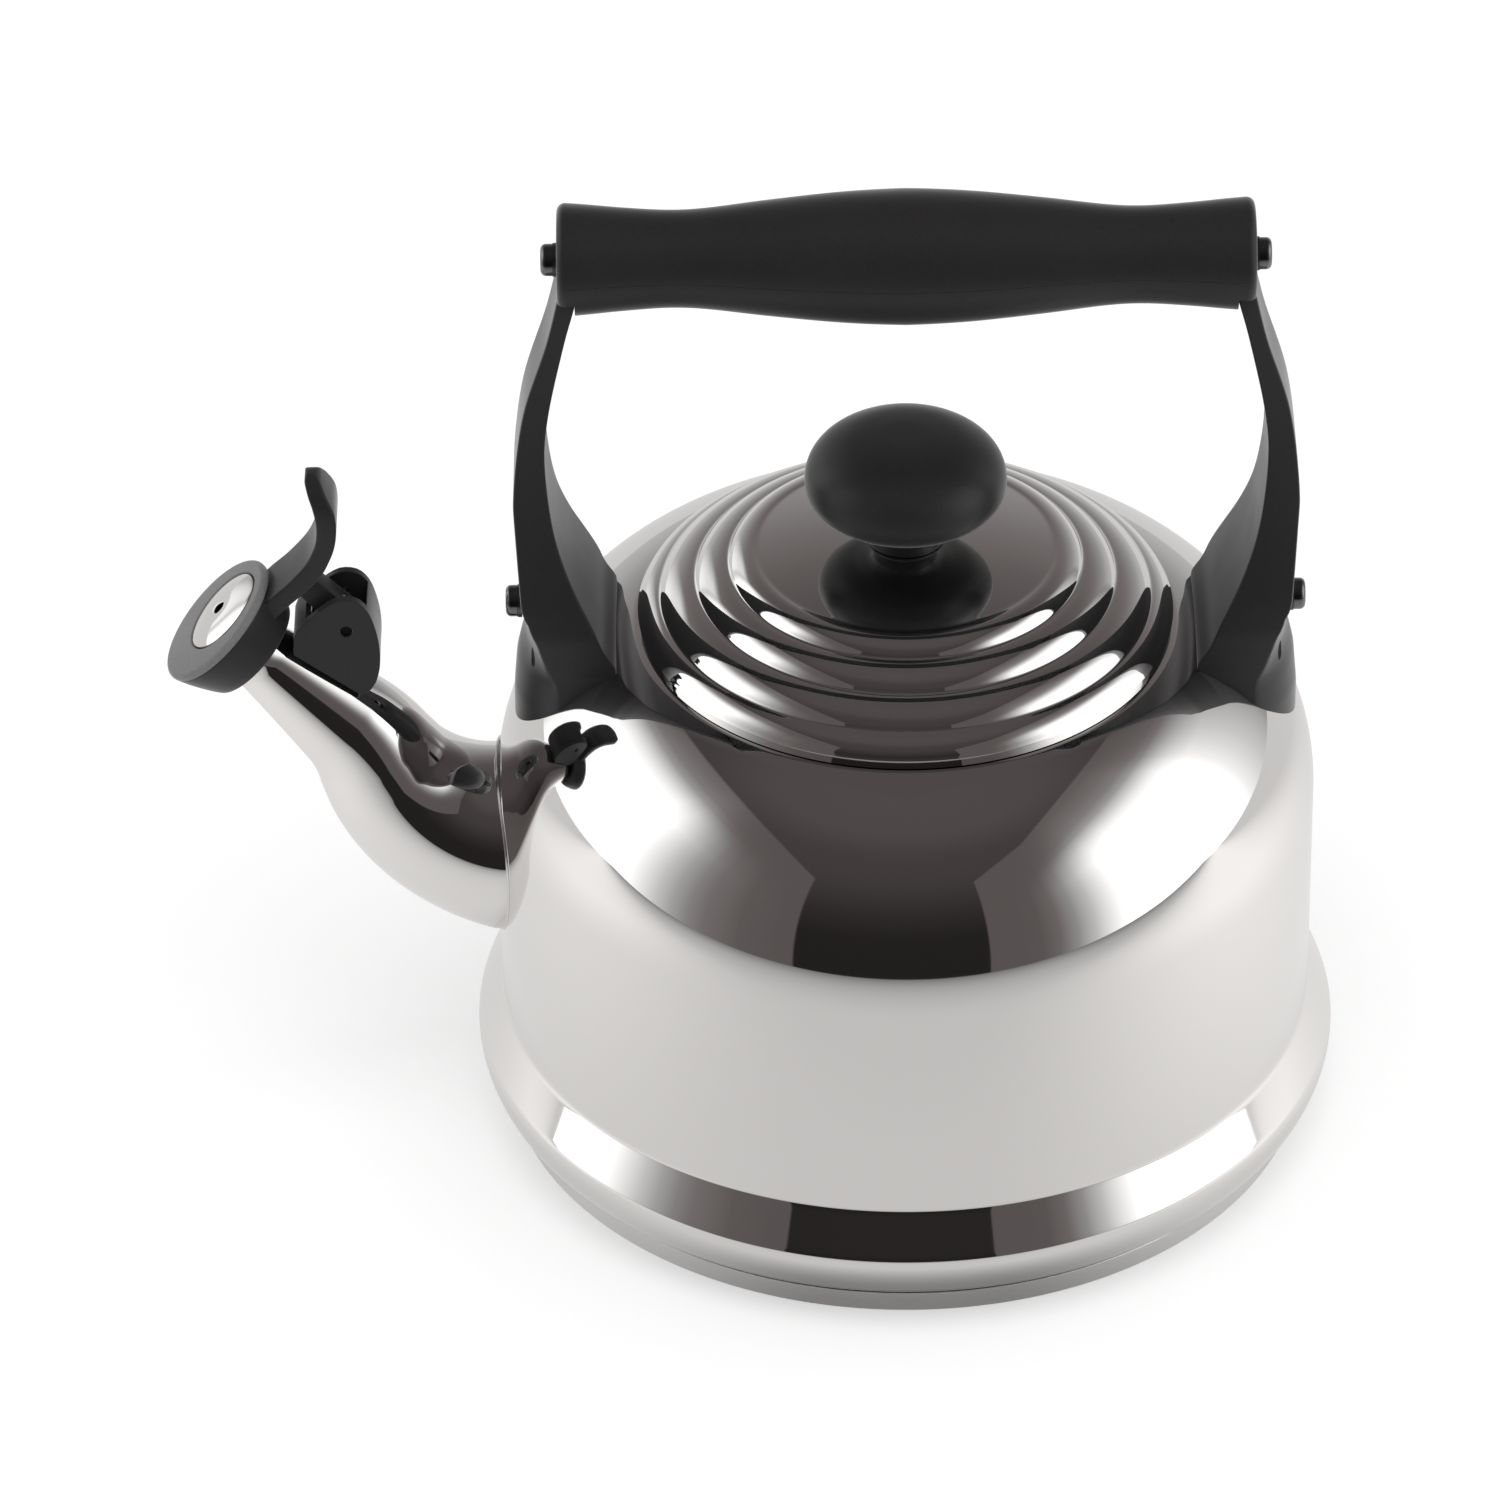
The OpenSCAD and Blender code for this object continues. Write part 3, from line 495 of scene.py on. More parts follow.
polished_metal("polished_steel", (0.76, 0.75, 0.745, 1), low=0.018, high=0.045, cloud_scale=18.0, wave=0.05)
brushed_metal("satin_steel", (0.80, 0.795, 0.79, 1), roughness=0.34, grain_scale=260.0, depth=0.25,
              stretch=(1, 1, 14))
brushed_metal("core_aluminium", (0.72, 0.72, 0.72, 1), roughness=0.4, grain_scale=500.0, depth=0.2)
brushed_metal("plain_steel", (0.012, 0.012, 0.012, 1), roughness=0.45, grain_scale=700.0, depth=0.1)
brushed_metal("spring_steel", (0.75, 0.75, 0.74, 1), roughness=0.2, grain_scale=900.0, depth=0.05)
brushed_metal("screw_steel", (0.17, 0.17, 0.175, 1), roughness=0.15, grain_scale=800.0, depth=0.05)
brushed_metal("washer_steel", (0.12, 0.12, 0.125, 1), roughness=0.35, grain_scale=800.0, depth=0.1)
brushed_metal("insert_brass", (0.72, 0.52, 0.24, 1), roughness=0.3, grain_scale=700.0, depth=0.08)
moulded_resin("black_phenolic", (0.0135, 0.0126, 0.0133, 1), low=0.38, high=0.48, level=0.30, depth=0.08,
              sheen=0.45)
# A paler copy of the phenolic for the whistle ring: its lighter colour is painted sheen, standing in for the
# bright grazing sheen on the ring's face
moulded_resin("sheen_painted_phenolic", (0.125, 0.125, 0.127, 1), low=0.40, high=0.52, level=0.30, depth=0.08,
              sheen=0.5)
moulded_resin("seal_rubber", (0.05, 0.05, 0.05, 1), low=0.55, high=0.7, level=0.4, depth=0.2, sheen=0.0)

# ---------------------------------------------------------------- body and base

FOOT_STEP = 0.8
FOOT_R = BASE_R + FOOT_STEP
WALL_HEIGHTS = (34, 42, 52, 62, 72, 80)
CREASE_EASE, CORNER_EASE, LIP_EASE = 0.9, 0.5, 0.3
flare_low_r = ((FLARE_R - FOOT_R) ** 2 + (FLARE_Z - FLOOR_Z) ** 2) / (2 * (FLARE_R - FOOT_R))
flare_rise = Vector((WALL_R - FLARE_R + FLARE_ROUND, CREASE_Z - FLARE_Z))
flare_turn = math.degrees(math.atan2(flare_rise.y, flare_rise.x)
                          - math.acos(FLARE_ROUND / flare_rise.length))
flare_over = arc(FLARE_R - FLARE_ROUND, FLARE_Z, FLARE_ROUND, 4, flare_turn, 10)
crease = Vector((WALL_R, CREASE_Z))
seat_turn = math.degrees(math.acos((LID_R + RUN_GAP - SHOULDER_C) / SHOULDER_R))

body_path = ([Vector((0, FLOOR_Z))]
             + arc(FLARE_R - flare_low_r, FLARE_Z, flare_low_r,
                   -math.degrees(math.asin((FLARE_Z - FLOOR_Z) / flare_low_r)), 0, 20)
             + flare_over + [flare_over[-1].lerp(crease, t) for t in (0.08, 0.5, 0.85, 1.0)]
             + [Vector((WALL_R, z)) for z in WALL_HEIGHTS]
             + arc(SHOULDER_C, SHOULDER_Z, SHOULDER_R, 0, seat_turn, 56)
             + arc(OPENING_R + NECK_ROUND, SEAT_Z - NECK_ROUND, NECK_ROUND, 90, 180, 8)
             + [Vector((OPENING_R, SEAT_Z - NECK_H))])
body_path = soften(body_path, crease, CREASE_EASE)
body_path = soften(body_path, (FOOT_R, FLOOR_Z), CORNER_EASE)
body_wall = body_path + inset(body_path, SHEET)[::-1]
body = make_piece("steel_body", turned(body_wall, FINE_TURN), "kettle", "polished_steel", ["body_shell"])

base_path = [(0, 0), (BASE_R, 0), (BASE_R + BASE_LEAN, BASE_H), (BASE_R + BASE_LEAN - BASE_SHEET, BASE_H),
             (BASE_R - BASE_SHEET, BASE_SHEET), (0, BASE_SHEET)]
base_path = soften(base_path, (BASE_R, 0), CORNER_EASE)
base_path = soften(base_path, (BASE_R + BASE_LEAN, BASE_H), LIP_EASE)
make_piece("base_cap_turned", turned(base_path), "kettle", "satin_steel", ["base_cap"])

# ---------------------------------------------------------------- spout

SPOUT_STEPS = 96
SPOUT_SIDES = 96


def bend(start, r, slope_start, slope, way=1):
    """Point on a bend that starts at start; way is 1 where the slope grows."""
    return Vector((start.x + way * r * (math.sin(slope) - math.sin(slope_start)),
                   start.y + way * r * (math.cos(slope_start) - math.cos(slope))))


def spout_stations(count):
    """Points and slopes along the centre line: distance out, height, slope."""
    root = Vector((SPOUT_ROOT_X, SPOUT_Z))
    low_end = bend(root, BEND_LOW_R, START_SLOPE, STEEP_SLOPE)
    high_start = low_end + SPOUT_MID * Vector((math.cos(STEEP_SLOPE), math.sin(STEEP_SLOPE)))
    high_end = bend(high_start, BEND_HIGH_R, STEEP_SLOPE, MOUTH_SLOPE, -1)
    lengths = [BEND_LOW_R * (STEEP_SLOPE - START_SLOPE), SPOUT_MID,
               BEND_HIGH_R * (STEEP_SLOPE - MOUTH_SLOPE), SPOUT_END]
    stations, total = [], sum(lengths)
    for i in range(count + 1):
        s = total * i / count
        if s <= lengths[0]:
            slope = START_SLOPE + s / BEND_LOW_R
            p = bend(root, BEND_LOW_R, START_SLOPE, slope)
        elif s <= lengths[0] + lengths[1]:
            slope = STEEP_SLOPE
            p = low_end.lerp(high_start, (s - lengths[0]) / SPOUT_MID)
        elif s <= sum(lengths[:3]):
            slope = STEEP_SLOPE - (s - lengths[0] - lengths[1]) / BEND_HIGH_R
            p = bend(high_start, BEND_HIGH_R, STEEP_SLOPE, slope, -1)
        else:
            slope = MOUTH_SLOPE
            p = high_end + (s - sum(lengths[:3])) * Vector((math.cos(slope), math.sin(slope)))
        stations.append((p.x, p.y, slope, s))
    return stations, total


stations, spout_length = spout_stations(SPOUT_STEPS)


def spout_radius(s):
    """Radius at s along the centre line: even over the stub and the plain end, tapered between."""
    stub, plain_end, power = 5.0, 6.7, 1.1
    f = 1 - (s - stub) / (spout_length - stub - plain_end)
    if f >= 1:
        return SPOUT_ROOT_R
    return SPOUT_TIP_R + (SPOUT_ROOT_R - SPOUT_TIP_R) * max(f, 0) ** power


def spout_ring(station, thickness):
    """Points round the spout at a station, in by the thickness."""
    x, z, slope, s = station
    r = spout_radius(s) - thickness
    ring = []
    for k in range(SPOUT_SIDES):
        a = WHOLE_TURN * k / SPOUT_SIDES
        up = r * math.cos(a)
        ring.append((-(x - up * math.sin(slope)), r * math.sin(a), z + up * math.cos(slope)))
    return ring


outer = [spout_ring(st, 0) for st in stations[:-1]]
lip = [spout_ring(stations[-1], t) for t in (0.15, 0.5, 0.85)]
inner = [spout_ring(st, SHEET) for st in stations[-2::-1]]
make_piece("spout", lofted(outer + lip + inner, closed=True), "kettle", "polished_steel", ["spout_tube"])

# The weld, a fine raised line where the spout meets the wall
cross_slope = START_SLOPE + (WALL_R - SPOUT_ROOT_X) / BEND_LOW_R
cross_z = bend(Vector((SPOUT_ROOT_X, SPOUT_Z)), BEND_LOW_R, START_SLOPE, cross_slope).y
WELD_R = 0.45
WELD_TUCK = 0.985
WELD_STEPS = 160
WIRE_SIDES = 8
weld_rings = []
for k in range(WELD_STEPS):
    a = WHOLE_TURN * k / WELD_STEPS
    y, up = SPOUT_ROOT_R * math.sin(a), SPOUT_ROOT_R * math.cos(a)
    centre = Vector((-math.sqrt(WALL_R ** 2 - y * y), y, cross_z + up / math.cos(cross_slope) * WELD_TUCK))
    outwards = Vector((0, math.sin(a), math.cos(a)))
    weld_rings.append([centre + WELD_R * (math.cos(b) * outwards + math.sin(b) * Vector((-1, 0, 0)))
                       for b in [WHOLE_TURN * j / WIRE_SIDES for j in range(WIRE_SIDES)]])
make_piece("spout_weld", lofted(weld_rings, closed=True), "kettle", "spring_steel")

# The hole in the wall behind the spout
hole = bmesh.new()
hole_r = (SPOUT_ROOT_R - SHEET) * MM
bmesh.ops.create_cone(hole, cap_ends=True, segments=SPOUT_SIDES, radius1=hole_r, radius2=hole_r,
                      depth=30 * MM)
carve(body, loose_shape(hole, Matrix.Translation((-WALL_R * MM, 0, cross_z * MM))
                        @ Matrix.Rotation(cross_slope - math.pi / 2, 4, "Y")))

# ---------------------------------------------------------------- lid and knob

# The creases between the lid's steps, as (in from its edge, up from its seat)
STEP_CREASES = ((5.4, 6.9), (13.8, 11.8), (21.8, 16.3), (28.7, 19.8))
creases = [Vector((LID_R - a, SEAT_Z + b)) for a, b in STEP_CREASES]
dome_rise = DOME_Z - creases[3].y
dome_r = (creases[3].x ** 2 + dome_rise ** 2) / (2 * dome_rise)
dome_turn = math.degrees(math.acos(creases[3].x / dome_r))
rim_top = LID_Z + RIM_H
rim_edge = Vector((LID_R - 0.35, rim_top + 0.25))

lid_path = arc(0, DOME_Z - dome_r, dome_r, math.degrees(math.acos(SCREW_HOLE_R / dome_r)), dome_turn, 28)
for high, low in zip(creases[::-1], creases[-2::-1]):
    lid_path += bulge_arc(high, low, RIB_BULGE, 20)
lid_path += bulge_arc(creases[0], rim_edge, RIB_BULGE * 0.6, 14)
lid_path += [Vector((LID_R, rim_top - 0.3)), Vector((LID_R, LID_Z))]
for step_crease in creases:
    lid_path = soften(lid_path, step_crease, 0.55, 4)
lid_path = soften(lid_path, rim_edge, LIP_EASE, 3)
lid_wall = lid_path + inset(lid_path, -LID_T)[::-1]
make_piece("lid", turned(lid_wall, FINE_TURN), "lid", "polished_steel", ["lid_shell"])

skirt_r, skirt_h, flange_r = OPENING_R - 2 * RUN_GAP, 8.0, LID_R - LID_T - 0.1
skirt_path = [(skirt_r - LID_T, LID_Z - skirt_h), (skirt_r, LID_Z - skirt_h), (skirt_r, LID_Z),
              (flange_r, LID_Z), (flange_r, LID_Z + LID_T), (skirt_r - LID_T, LID_Z + LID_T)]
make_piece("lid_skirt_turned", turned(skirt_path, MID_TURN), "lid", "polished_steel", ["lid_skirt"])

KNOB_BORE_H = 14
KNOB_FOOT_R = KNOB_NECK_R + 1.2
n_h, top = KNOB_NECK_H, KNOB_H
knob_path = ([(SCREW_HOLE_R, 0), (KNOB_FOOT_R, 0), (KNOB_FOOT_R, 0.5)]
             + smooth_curve([(KNOB_NECK_R + 0.2, 1.8), (KNOB_NECK_R, 3.6), (KNOB_NECK_R + 0.6, n_h - 0.7),
                             (KNOB_NECK_R + 4, n_h + 0.9), (KNOB_R - 5.5, n_h + 2.8),
                             (KNOB_R - 1.3, n_h + 5.8), (KNOB_R, n_h + 9.4), (KNOB_R - 1, top - 8.4),
                             (KNOB_R - 4.4, top - 4.4), (KNOB_R - 10.2, top - 1.4),
                             (KNOB_R - 17, top - 0.2), (0, top)], 9)
             + [(0, KNOB_BORE_H), (SCREW_HOLE_R, KNOB_BORE_H)])
knob_path = [Vector((p[0], p[1] + DOME_Z)) for p in knob_path]
make_piece("knob", turned(knob_path), "lid", "black_phenolic", ["lid_knob"])

# ---------------------------------------------------------------- handle

GRIP_END_R = 13.3
GRIP_END_ROUND = 2.0
grip_path = (smooth_curve([(-8, 15.75), (0, 16.05), (15, 15.35), (32, 13.65), (47, 11.85), (56, 11.5),
                           (66, 12.1), (GRIP_HALF - 7, 12.9), (GRIP_HALF - GRIP_END_ROUND, GRIP_END_R)], 8)
             + arc(GRIP_HALF - GRIP_END_ROUND, GRIP_END_R - GRIP_END_ROUND, GRIP_END_ROUND, 90, 0, 8)[1:])
grip_path = [Vector((p[1], p[0])) for p in grip_path if p[0] >= 0]
grip_outline = ([Vector((0, -GRIP_HALF))] + [Vector((p.x, -p.y)) for p in grip_path[:0:-1]]
                + grip_path + [Vector((0, GRIP_HALF))])
lengthwise = Matrix.Translation((0, 0, GRIP_Z * MM)) @ Matrix.Rotation(math.pi / 2, 4, "Y")
grip = make_piece("grip", turned(grip_outline, SMALL_TURN, closed=False), "kettle", "black_phenolic",
                  ["handle_grip"], place=lengthwise)


SLOT_REACH = 60


def round_slot(half, x_in, x_out, side):
    """Cutter for a bracket tip's slot in the grip's end: straight sides, round top, open below."""
    outline = [(-half, -SLOT_REACH)] + [tuple(p) for p in arc(0, 0, half, 180, 0, 24)] + [(half, -SLOT_REACH)]
    bm = bmesh.new()
    face = bm.faces.new([bm.verts.new((x_in * side * MM, p[0] * MM, (GRIP_Z + p[1]) * MM)) for p in outline])
    grown = bmesh.ops.extrude_face_region(bm, geom=[face])["geom"]
    moved = [v for v in grown if isinstance(v, bmesh.types.BMVert)]
    bmesh.ops.translate(bm, vec=((x_out - x_in) * side * MM, 0, 0), verts=moved)
    return bm


# Behind each slot the grip is cut flat, this far under its axis
FLAT_UNDER = 5.4
FLAT_SIZE = Vector((20, 60, 20))
FIT = 0.1
slot_x = GRIP_HALF - TIP_T - FIT
for side in (-1, 1):
    carve(grip, loose_shape(round_slot(TIP_W + FIT, slot_x, GRIP_HALF + 5, side)))
    under = bmesh.new()
    bmesh.ops.create_cube(under, size=1, matrix=Matrix.Translation(
        (side * (slot_x + FLAT_SIZE.x / 2) * MM, 0, (GRIP_Z - FLAT_UNDER - FLAT_SIZE.z / 2) * MM))
        @ Matrix.Diagonal(FLAT_SIZE * MM).to_4x4())
    carve(grip, loose_shape(under))

# The grip's parting lines, one on each side at the height of its axis
SEAM_R = 0.17
SEAM_SUNK = 0.1
SEAM_SHORT = 1.2
for side, label in ((-1, "front"), (1, "back")):
    seam = []
    for p in [q for q in grip_outline if abs(q.y) < GRIP_HALF - SEAM_SHORT]:
        around = [WHOLE_TURN * j / WIRE_SIDES for j in range(WIRE_SIDES)]
        seam.append([(p.y, side * (p.x - SEAM_SUNK + SEAM_R * math.cos(a)), GRIP_Z + SEAM_R * math.sin(a))
                     for a in around])
    make_piece("grip_seam_" + label, lofted(seam), "kettle", "black_phenolic")

# Side lines of a bracket as (height, distance out), and its half width as (height, half width)
outer_line = [(p.x, p.y) for p in
              [Vector((90, FOOT_X)), Vector((116, FOOT_X)), Vector((129, FOOT_X - 1.1)),
               Vector((141, FOOT_X - 2.3))]
              + smooth_curve([(150, FOOT_X - 2.1), (164, FOOT_X - 1.5), (178, FOOT_X - 1.1),
                              (199.1, FOOT_X - 3.7), (218.8, GRIP_HALF + 3), (231.9, GRIP_HALF)], 8)
              + [Vector((260, GRIP_HALF))]]
inner_line = [(p.x, p.y) for p in
              [Vector((90, LIP_X)), Vector((SEAT_Z - 2, LIP_X))]
              + smooth_curve([(SEAT_Z - 0.8, LIP_X + 0.5), (138.2, LIP_X + 2.7), (144.5, LIP_X + 5.2),
                              (157.5, LIP_X + 11), (169.7, FOOT_X - 10.4), (186, FOOT_X - 8.8),
                              (199.1, FOOT_X - 9.8),
                              (218.7, GRIP_HALF - 1.3), (229.3, GRIP_HALF - TIP_T)], 8)
              + [Vector((260, GRIP_HALF - TIP_T))]]
width_line = [(p.x, p.y) for p in
              [Vector((90, FOOT_W))]
              + smooth_curve([(142, FOOT_W), (150, TIP_W + 9), (157.2, TIP_W + 6.9), (168, TIP_W + 4),
                              (180, TIP_W + 1.9), (192, TIP_W + 0.6), (205, TIP_W)], 8)
              + [Vector((260, TIP_W))]]
# The outer face in plan: how far out it stands past the foot, and its radius, both by height
face_out = [(88, 0), (119, 0), (127, -0.9), (130, -1.6), (133, -2.4), (136, -2.9), (141, -2.5), (146, -2.2),
            (150, -1.8), (280, 4)]
face_round = [(88, 25), (119, 25), (127, 25.5), (130, 28), (133, 35), (136, 44), (141, 56), (146, 96),
              (150, 220), (280, 400)]
EDGE_ROUND = 1.0
LEAST_THICK = 1.2


def eased_corner(before, corner, after, steps=5):
    """A corner between two points, rounded."""
    a, b, c = Vector(before), Vector(corner), Vector(after)
    return [a * (1 - t) ** 2 + b * 2 * t * (1 - t) + c * t * t for t in [i / steps for i in range(steps + 1)]]


def bracket_section(z, side, face_steps=28):
    """Plan outline of a bracket at height z: bowed outer face, flat inner face, eased corners."""
    flat, in_x, w = value_at(outer_line, z), value_at(inner_line, z), value_at(width_line, z)
    if z > GRIP_Z:
        w = max(math.sqrt(max(TIP_W ** 2 - (z - GRIP_Z) ** 2, 0)), 0.3)
    bow_r = value_at(face_round, z)
    bow_x = FOOT_X + value_at(face_out, z) - bow_r

    def out_x(y):
        return max(min(flat, bow_x + math.sqrt(max(bow_r ** 2 - y * y, 0))), in_x + LEAST_THICK)

    r = min(EDGE_ROUND, w * 0.4)
    across = [(2 * i / face_steps - 1) * (w - r) for i in range(face_steps + 1)]
    face = [Vector((out_x(y), y)) for y in across]
    far_corner = eased_corner(face[-1], (out_x(w), w), (out_x(w) - r * 0.5, w))
    inner_far = eased_corner((in_x + r * 0.5, w), (in_x, w), (in_x, w - r))
    half_ring = far_corner[1:] + inner_far
    ring = face + half_ring + [Vector((p.x, -p.y)) for p in half_ring[::-1]]
    return [(side * p.x, p.y, z) for p in ring]


def dimple(x, y, z):
    """Cutter for the small upright hollow beside a bracket's foot screw."""
    bm = bmesh.new()
    bmesh.ops.create_uvsphere(bm, u_segments=24, v_segments=16, radius=1.25 * MM,
                              matrix=Matrix.Translation((x * MM, y * MM, z * MM))
                              @ Matrix.Diagonal((1, 1, 2.4, 1)))
    return bm


SCREW_SEAT_R = 4.4
SCREW_SEAT_H = 10
body_solid = inset(body_path, -0.02) + [Vector((0, SEAT_Z - NECK_H))]
heights = ([104 + 1.5 * i for i in range(52)] + [182 + 2.5 * i for i in range(23)]
           + [GRIP_Z + TIP_W * math.sin(math.radians(a)) for a in (8, 20, 32, 44, 56, 66, 75, 82, 88)])
for side, label in ((-1, "front"), (1, "rear")):
    sections = [bracket_section(z, side) for z in heights]
    bracket = make_piece(label + "_bracket_moulded", lofted(sections), "kettle", "black_phenolic",
                         [label + "_bracket"])
    carve(bracket, loose_shape(turned(body_solid, FINE_TURN)))
    seat = bmesh.new()
    bmesh.ops.create_cone(seat, cap_ends=True, segments=40, radius1=SCREW_SEAT_R * MM,
                          radius2=SCREW_SEAT_R * MM, depth=SCREW_SEAT_H * MM)
    seat_x = FOOT_FACE_X + SCREW_SEAT_H / 2
    carve(bracket, loose_shape(seat, Matrix.Translation((side * seat_x * MM, 0, FOOT_SCREW_Z * MM))
                               @ Matrix.Rotation(math.pi / 2, 4, "Y")))
    carve(bracket, loose_shape(dimple(side * 89.6, -13.4, 133.2)))

# ---------------------------------------------------------------- whistle and its hinge

mouth = Vector((stations[-1][0], stations[-1][1]))
AT_MOUTH = (Matrix.Translation((-mouth.x * MM, 0, mouth.y * MM))
            @ Matrix.Rotation(MOUTH_SLOPE - math.pi / 2, 4, "Y"))
bezel_z = CAP_AHEAD - BEZEL_T
rear_r = CAP_R - 3.8
REAR_ROUND = 0.8
RIM_ROUND = 1.2
face_r = CAP_R - 0.2
sleeve_r = SPOUT_TIP_R + 2.4
shelf_z = RUN_GAP + 1.6
plate_z = shelf_z + 1.2
AT_PLATES = AT_MOUTH @ Matrix.Translation((PLATE_SHIFT * MM, 0, 0))


def plug(outline):
    """A cutter turned about the plates' axis."""
    return loose_shape(turned(outline, SMALL_TURN), AT_PLATES)


drum_path = ([Vector((sleeve_r, -CAP_SLEEVE))]
             + arc(rear_r - REAR_ROUND, REAR_ROUND - CAP_SLEEVE, REAR_ROUND, -90, -30, 6)
             + smooth_curve([(CAP_R - 3.2, -1.7), (CAP_R - 2, 1.3), (CAP_R - 0.9, 4.4),
                             (face_r, bezel_z - 0.3)], 5)
             + [Vector((face_r, bezel_z)), Vector((0, bezel_z)), Vector((0, shelf_z)),
                Vector((sleeve_r, shelf_z))])
drum = make_piece("whistle_drum", turned(drum_path, MID_TURN), "whistle", "black_phenolic", ["whistle_cap"],
                  place=AT_MOUTH)
past_face = CAP_AHEAD + 5
carve(drum, plug([(0, plate_z), (PLATE_R + FIT, plate_z), (PLATE_R + FIT, past_face), (0, past_face)]))
carve(drum, plug([(0, 0), (STEAM_R, 0), (STEAM_R, CAP_AHEAD), (0, CAP_AHEAD)]))

bezel_path = ([Vector((0, bezel_z + 0.02)), Vector((face_r, bezel_z + 0.02)),
               Vector((CAP_R - 0.05, bezel_z + 0.2))]
              + arc(CAP_R - RIM_ROUND, CAP_AHEAD - RIM_ROUND, RIM_ROUND, 0, 90, 8) + [Vector((0, CAP_AHEAD))])
# The ring takes the paler phenolic, whose lighter colour is painted sheen
ring = make_piece("whistle_ring", turned(bezel_path), "whistle", "black_phenolic", ["whistle_bezel"],
                  place=AT_MOUTH, finish="sheen_painted_phenolic")
carve(ring, plug([(0, 0), (PLATE_R + 0.35, 0), (PLATE_R + 0.35, CAP_AHEAD - 0.25),
                  (PLATE_R + 0.7, CAP_AHEAD + 0.1), (0, CAP_AHEAD + 0.1)]))

dome_edge_z, dome_top_z = CAP_AHEAD + 0.1, CAP_AHEAD + 1.2
plate_path = ([Vector((HOLE_R, dome_top_z - 1.2)), Vector((HOLE_R, dome_top_z - 0.15)),
               Vector((HOLE_R + 0.15, dome_top_z))]
              + bulge_arc((HOLE_R + 0.15, dome_top_z), (PLATE_R - 0.5, dome_edge_z), 0.4, 16)
              + [Vector((PLATE_R - 0.15, dome_edge_z - 0.15)), Vector((PLATE_R, dome_edge_z - 0.5)),
                 Vector((PLATE_R, plate_z + 0.54))])
PLATE_T = 0.5
make_piece("whistle_plate", turned(plate_path + inset(plate_path, -PLATE_T)[::-1], SMALL_TURN), "whistle",
           "polished_steel", ["whistle_front_plate"], place=AT_PLATES)

# The lever: paired points up its front and its back, as [up, out], and its half width there
LEVER = [((13, 6.4), (13, 1.5), LEVER_W), ((17.3, 6.5), (18.5, 1.6), LEVER_W),
         ((23, 6.3), (24, 1.5), LEVER_W), ((29.4, 6.8), (30.2, 1.9), LEVER_W),
         ((33.3, 7.9), (34.6, 3.3), LEVER_W),
         ((36.6, 9.6), (38.4, 5.1), LEVER_W), ((40, 12.6), (42.2, 8.0), LEVER_W),
         ((42.5, 16), (45.4, 11.7), LEVER_W - 0.4), ((44, 18.9), (47, 15.7), LEVER_W - 1.6),
         ((45.1, 21), (47.9, 18.3), LEVER_W - 3.5)]
lever_front = smooth_curve([front for front, _, _ in LEVER], 6)
lever_back = smooth_curve([back for _, back, _ in LEVER], 6)
lever_half = [p.y for p in smooth_curve([(i, half) for i, (_, _, half) in enumerate(LEVER)], 6)]


def lever_section(front, back, w, ease=0.7, steps=5):
    """Ring across the lever between a front and a back point, its four corners eased."""
    middle, across = (front + back) / 2, (front - back)
    thick = across.length / 2
    across.normalize()
    r = min(ease, thick * 0.9, w * 0.9)
    ring = []
    for sx, sy, start in ((1, 1, 0), (-1, 1, 90), (-1, -1, 180), (1, -1, 270)):
        for p in arc(sx * (thick - r), sy * (w - r), r, start, start + 90, steps):
            q = middle + across * p.x
            ring.append((q.x, p.y, q.y))
    return ring


lever_sections = [lever_section(*station) for station in zip(lever_front, lever_back, lever_half)]
tip_middle = (lever_front[-1] + lever_back[-1]) / 2
tip_way = (lever_front[-1] - lever_front[-2] + lever_back[-1] - lever_back[-2]).normalized()
# The rounded tip: how far ahead of the last station, half width, share of its thickness
TIP_STEPS = ((0.55, 3.4, 0.93), (0.95, 2.9, 0.82), (1.25, 2.3, 0.68), (1.45, 1.6, 0.5), (1.55, 0.8, 0.3))
for ahead, w, shrink in TIP_STEPS:
    moved = tip_middle + tip_way * ahead
    lever_sections.append(lever_section(moved + (lever_front[-1] - tip_middle) * shrink,
                                        moved + (lever_back[-1] - tip_middle) * shrink, w))
make_piece("whistle_lever", lofted(lever_sections), "whistle", "black_phenolic", ["whistle_cap"],
           place=AT_MOUTH)

strap = slab([(PIN_UP - KNUCKLE_R, -PIN_BACK), (PIN_UP - KNUCKLE_R + 1.6, 2.4), (PIN_UP + KNUCKLE_R, 2.4)]
             + [(PIN_UP + p.x, -PIN_BACK + p.y) for p in arc(0, 0, KNUCKLE_R, 0, -180, 20)],
             KNUCKLE_W, bevel=0.4)
make_piece("whistle_knuckle", strap, "whistle", "black_phenolic", ["whistle_cap"], place=AT_MOUTH)

refined("hinge_block", "hinge_fork", "kettle", "black_phenolic", bevel=0.55)

# The return spring as a smooth round wire, on the same path as its solid
PIN_R = 1.5
TOUCH = 0.02
coil_r = PIN_R + WIRE_R + 0.35
on_knuckle = KNUCKLE_R + WIRE_R + TOUCH
coil_in, coil_out = KNUCKLE_W + RUN_GAP + WIRE_R, SLOT_W - 0.1 - WIRE_R
floor_up = SLOT_FLOOR - PIN_UP + WIRE_R + TOUCH
half_path = [(on_knuckle, KNUCKLE_W - 2, 4.6), (on_knuckle, coil_in - 0.2, 4.6),
             ((KNUCKLE_R + coil_r) / 2, coil_in, 2.3)]
TURN_STEPS, COIL_STEPS = 24, 36
half_path += [(coil_r * math.cos(a), coil_in + (coil_out - coil_in) * i / COIL_STEPS, coil_r * math.sin(a))
              for i, a in [(i, -WHOLE_TURN * i / TURN_STEPS) for i in range(COIL_STEPS + 1)]]
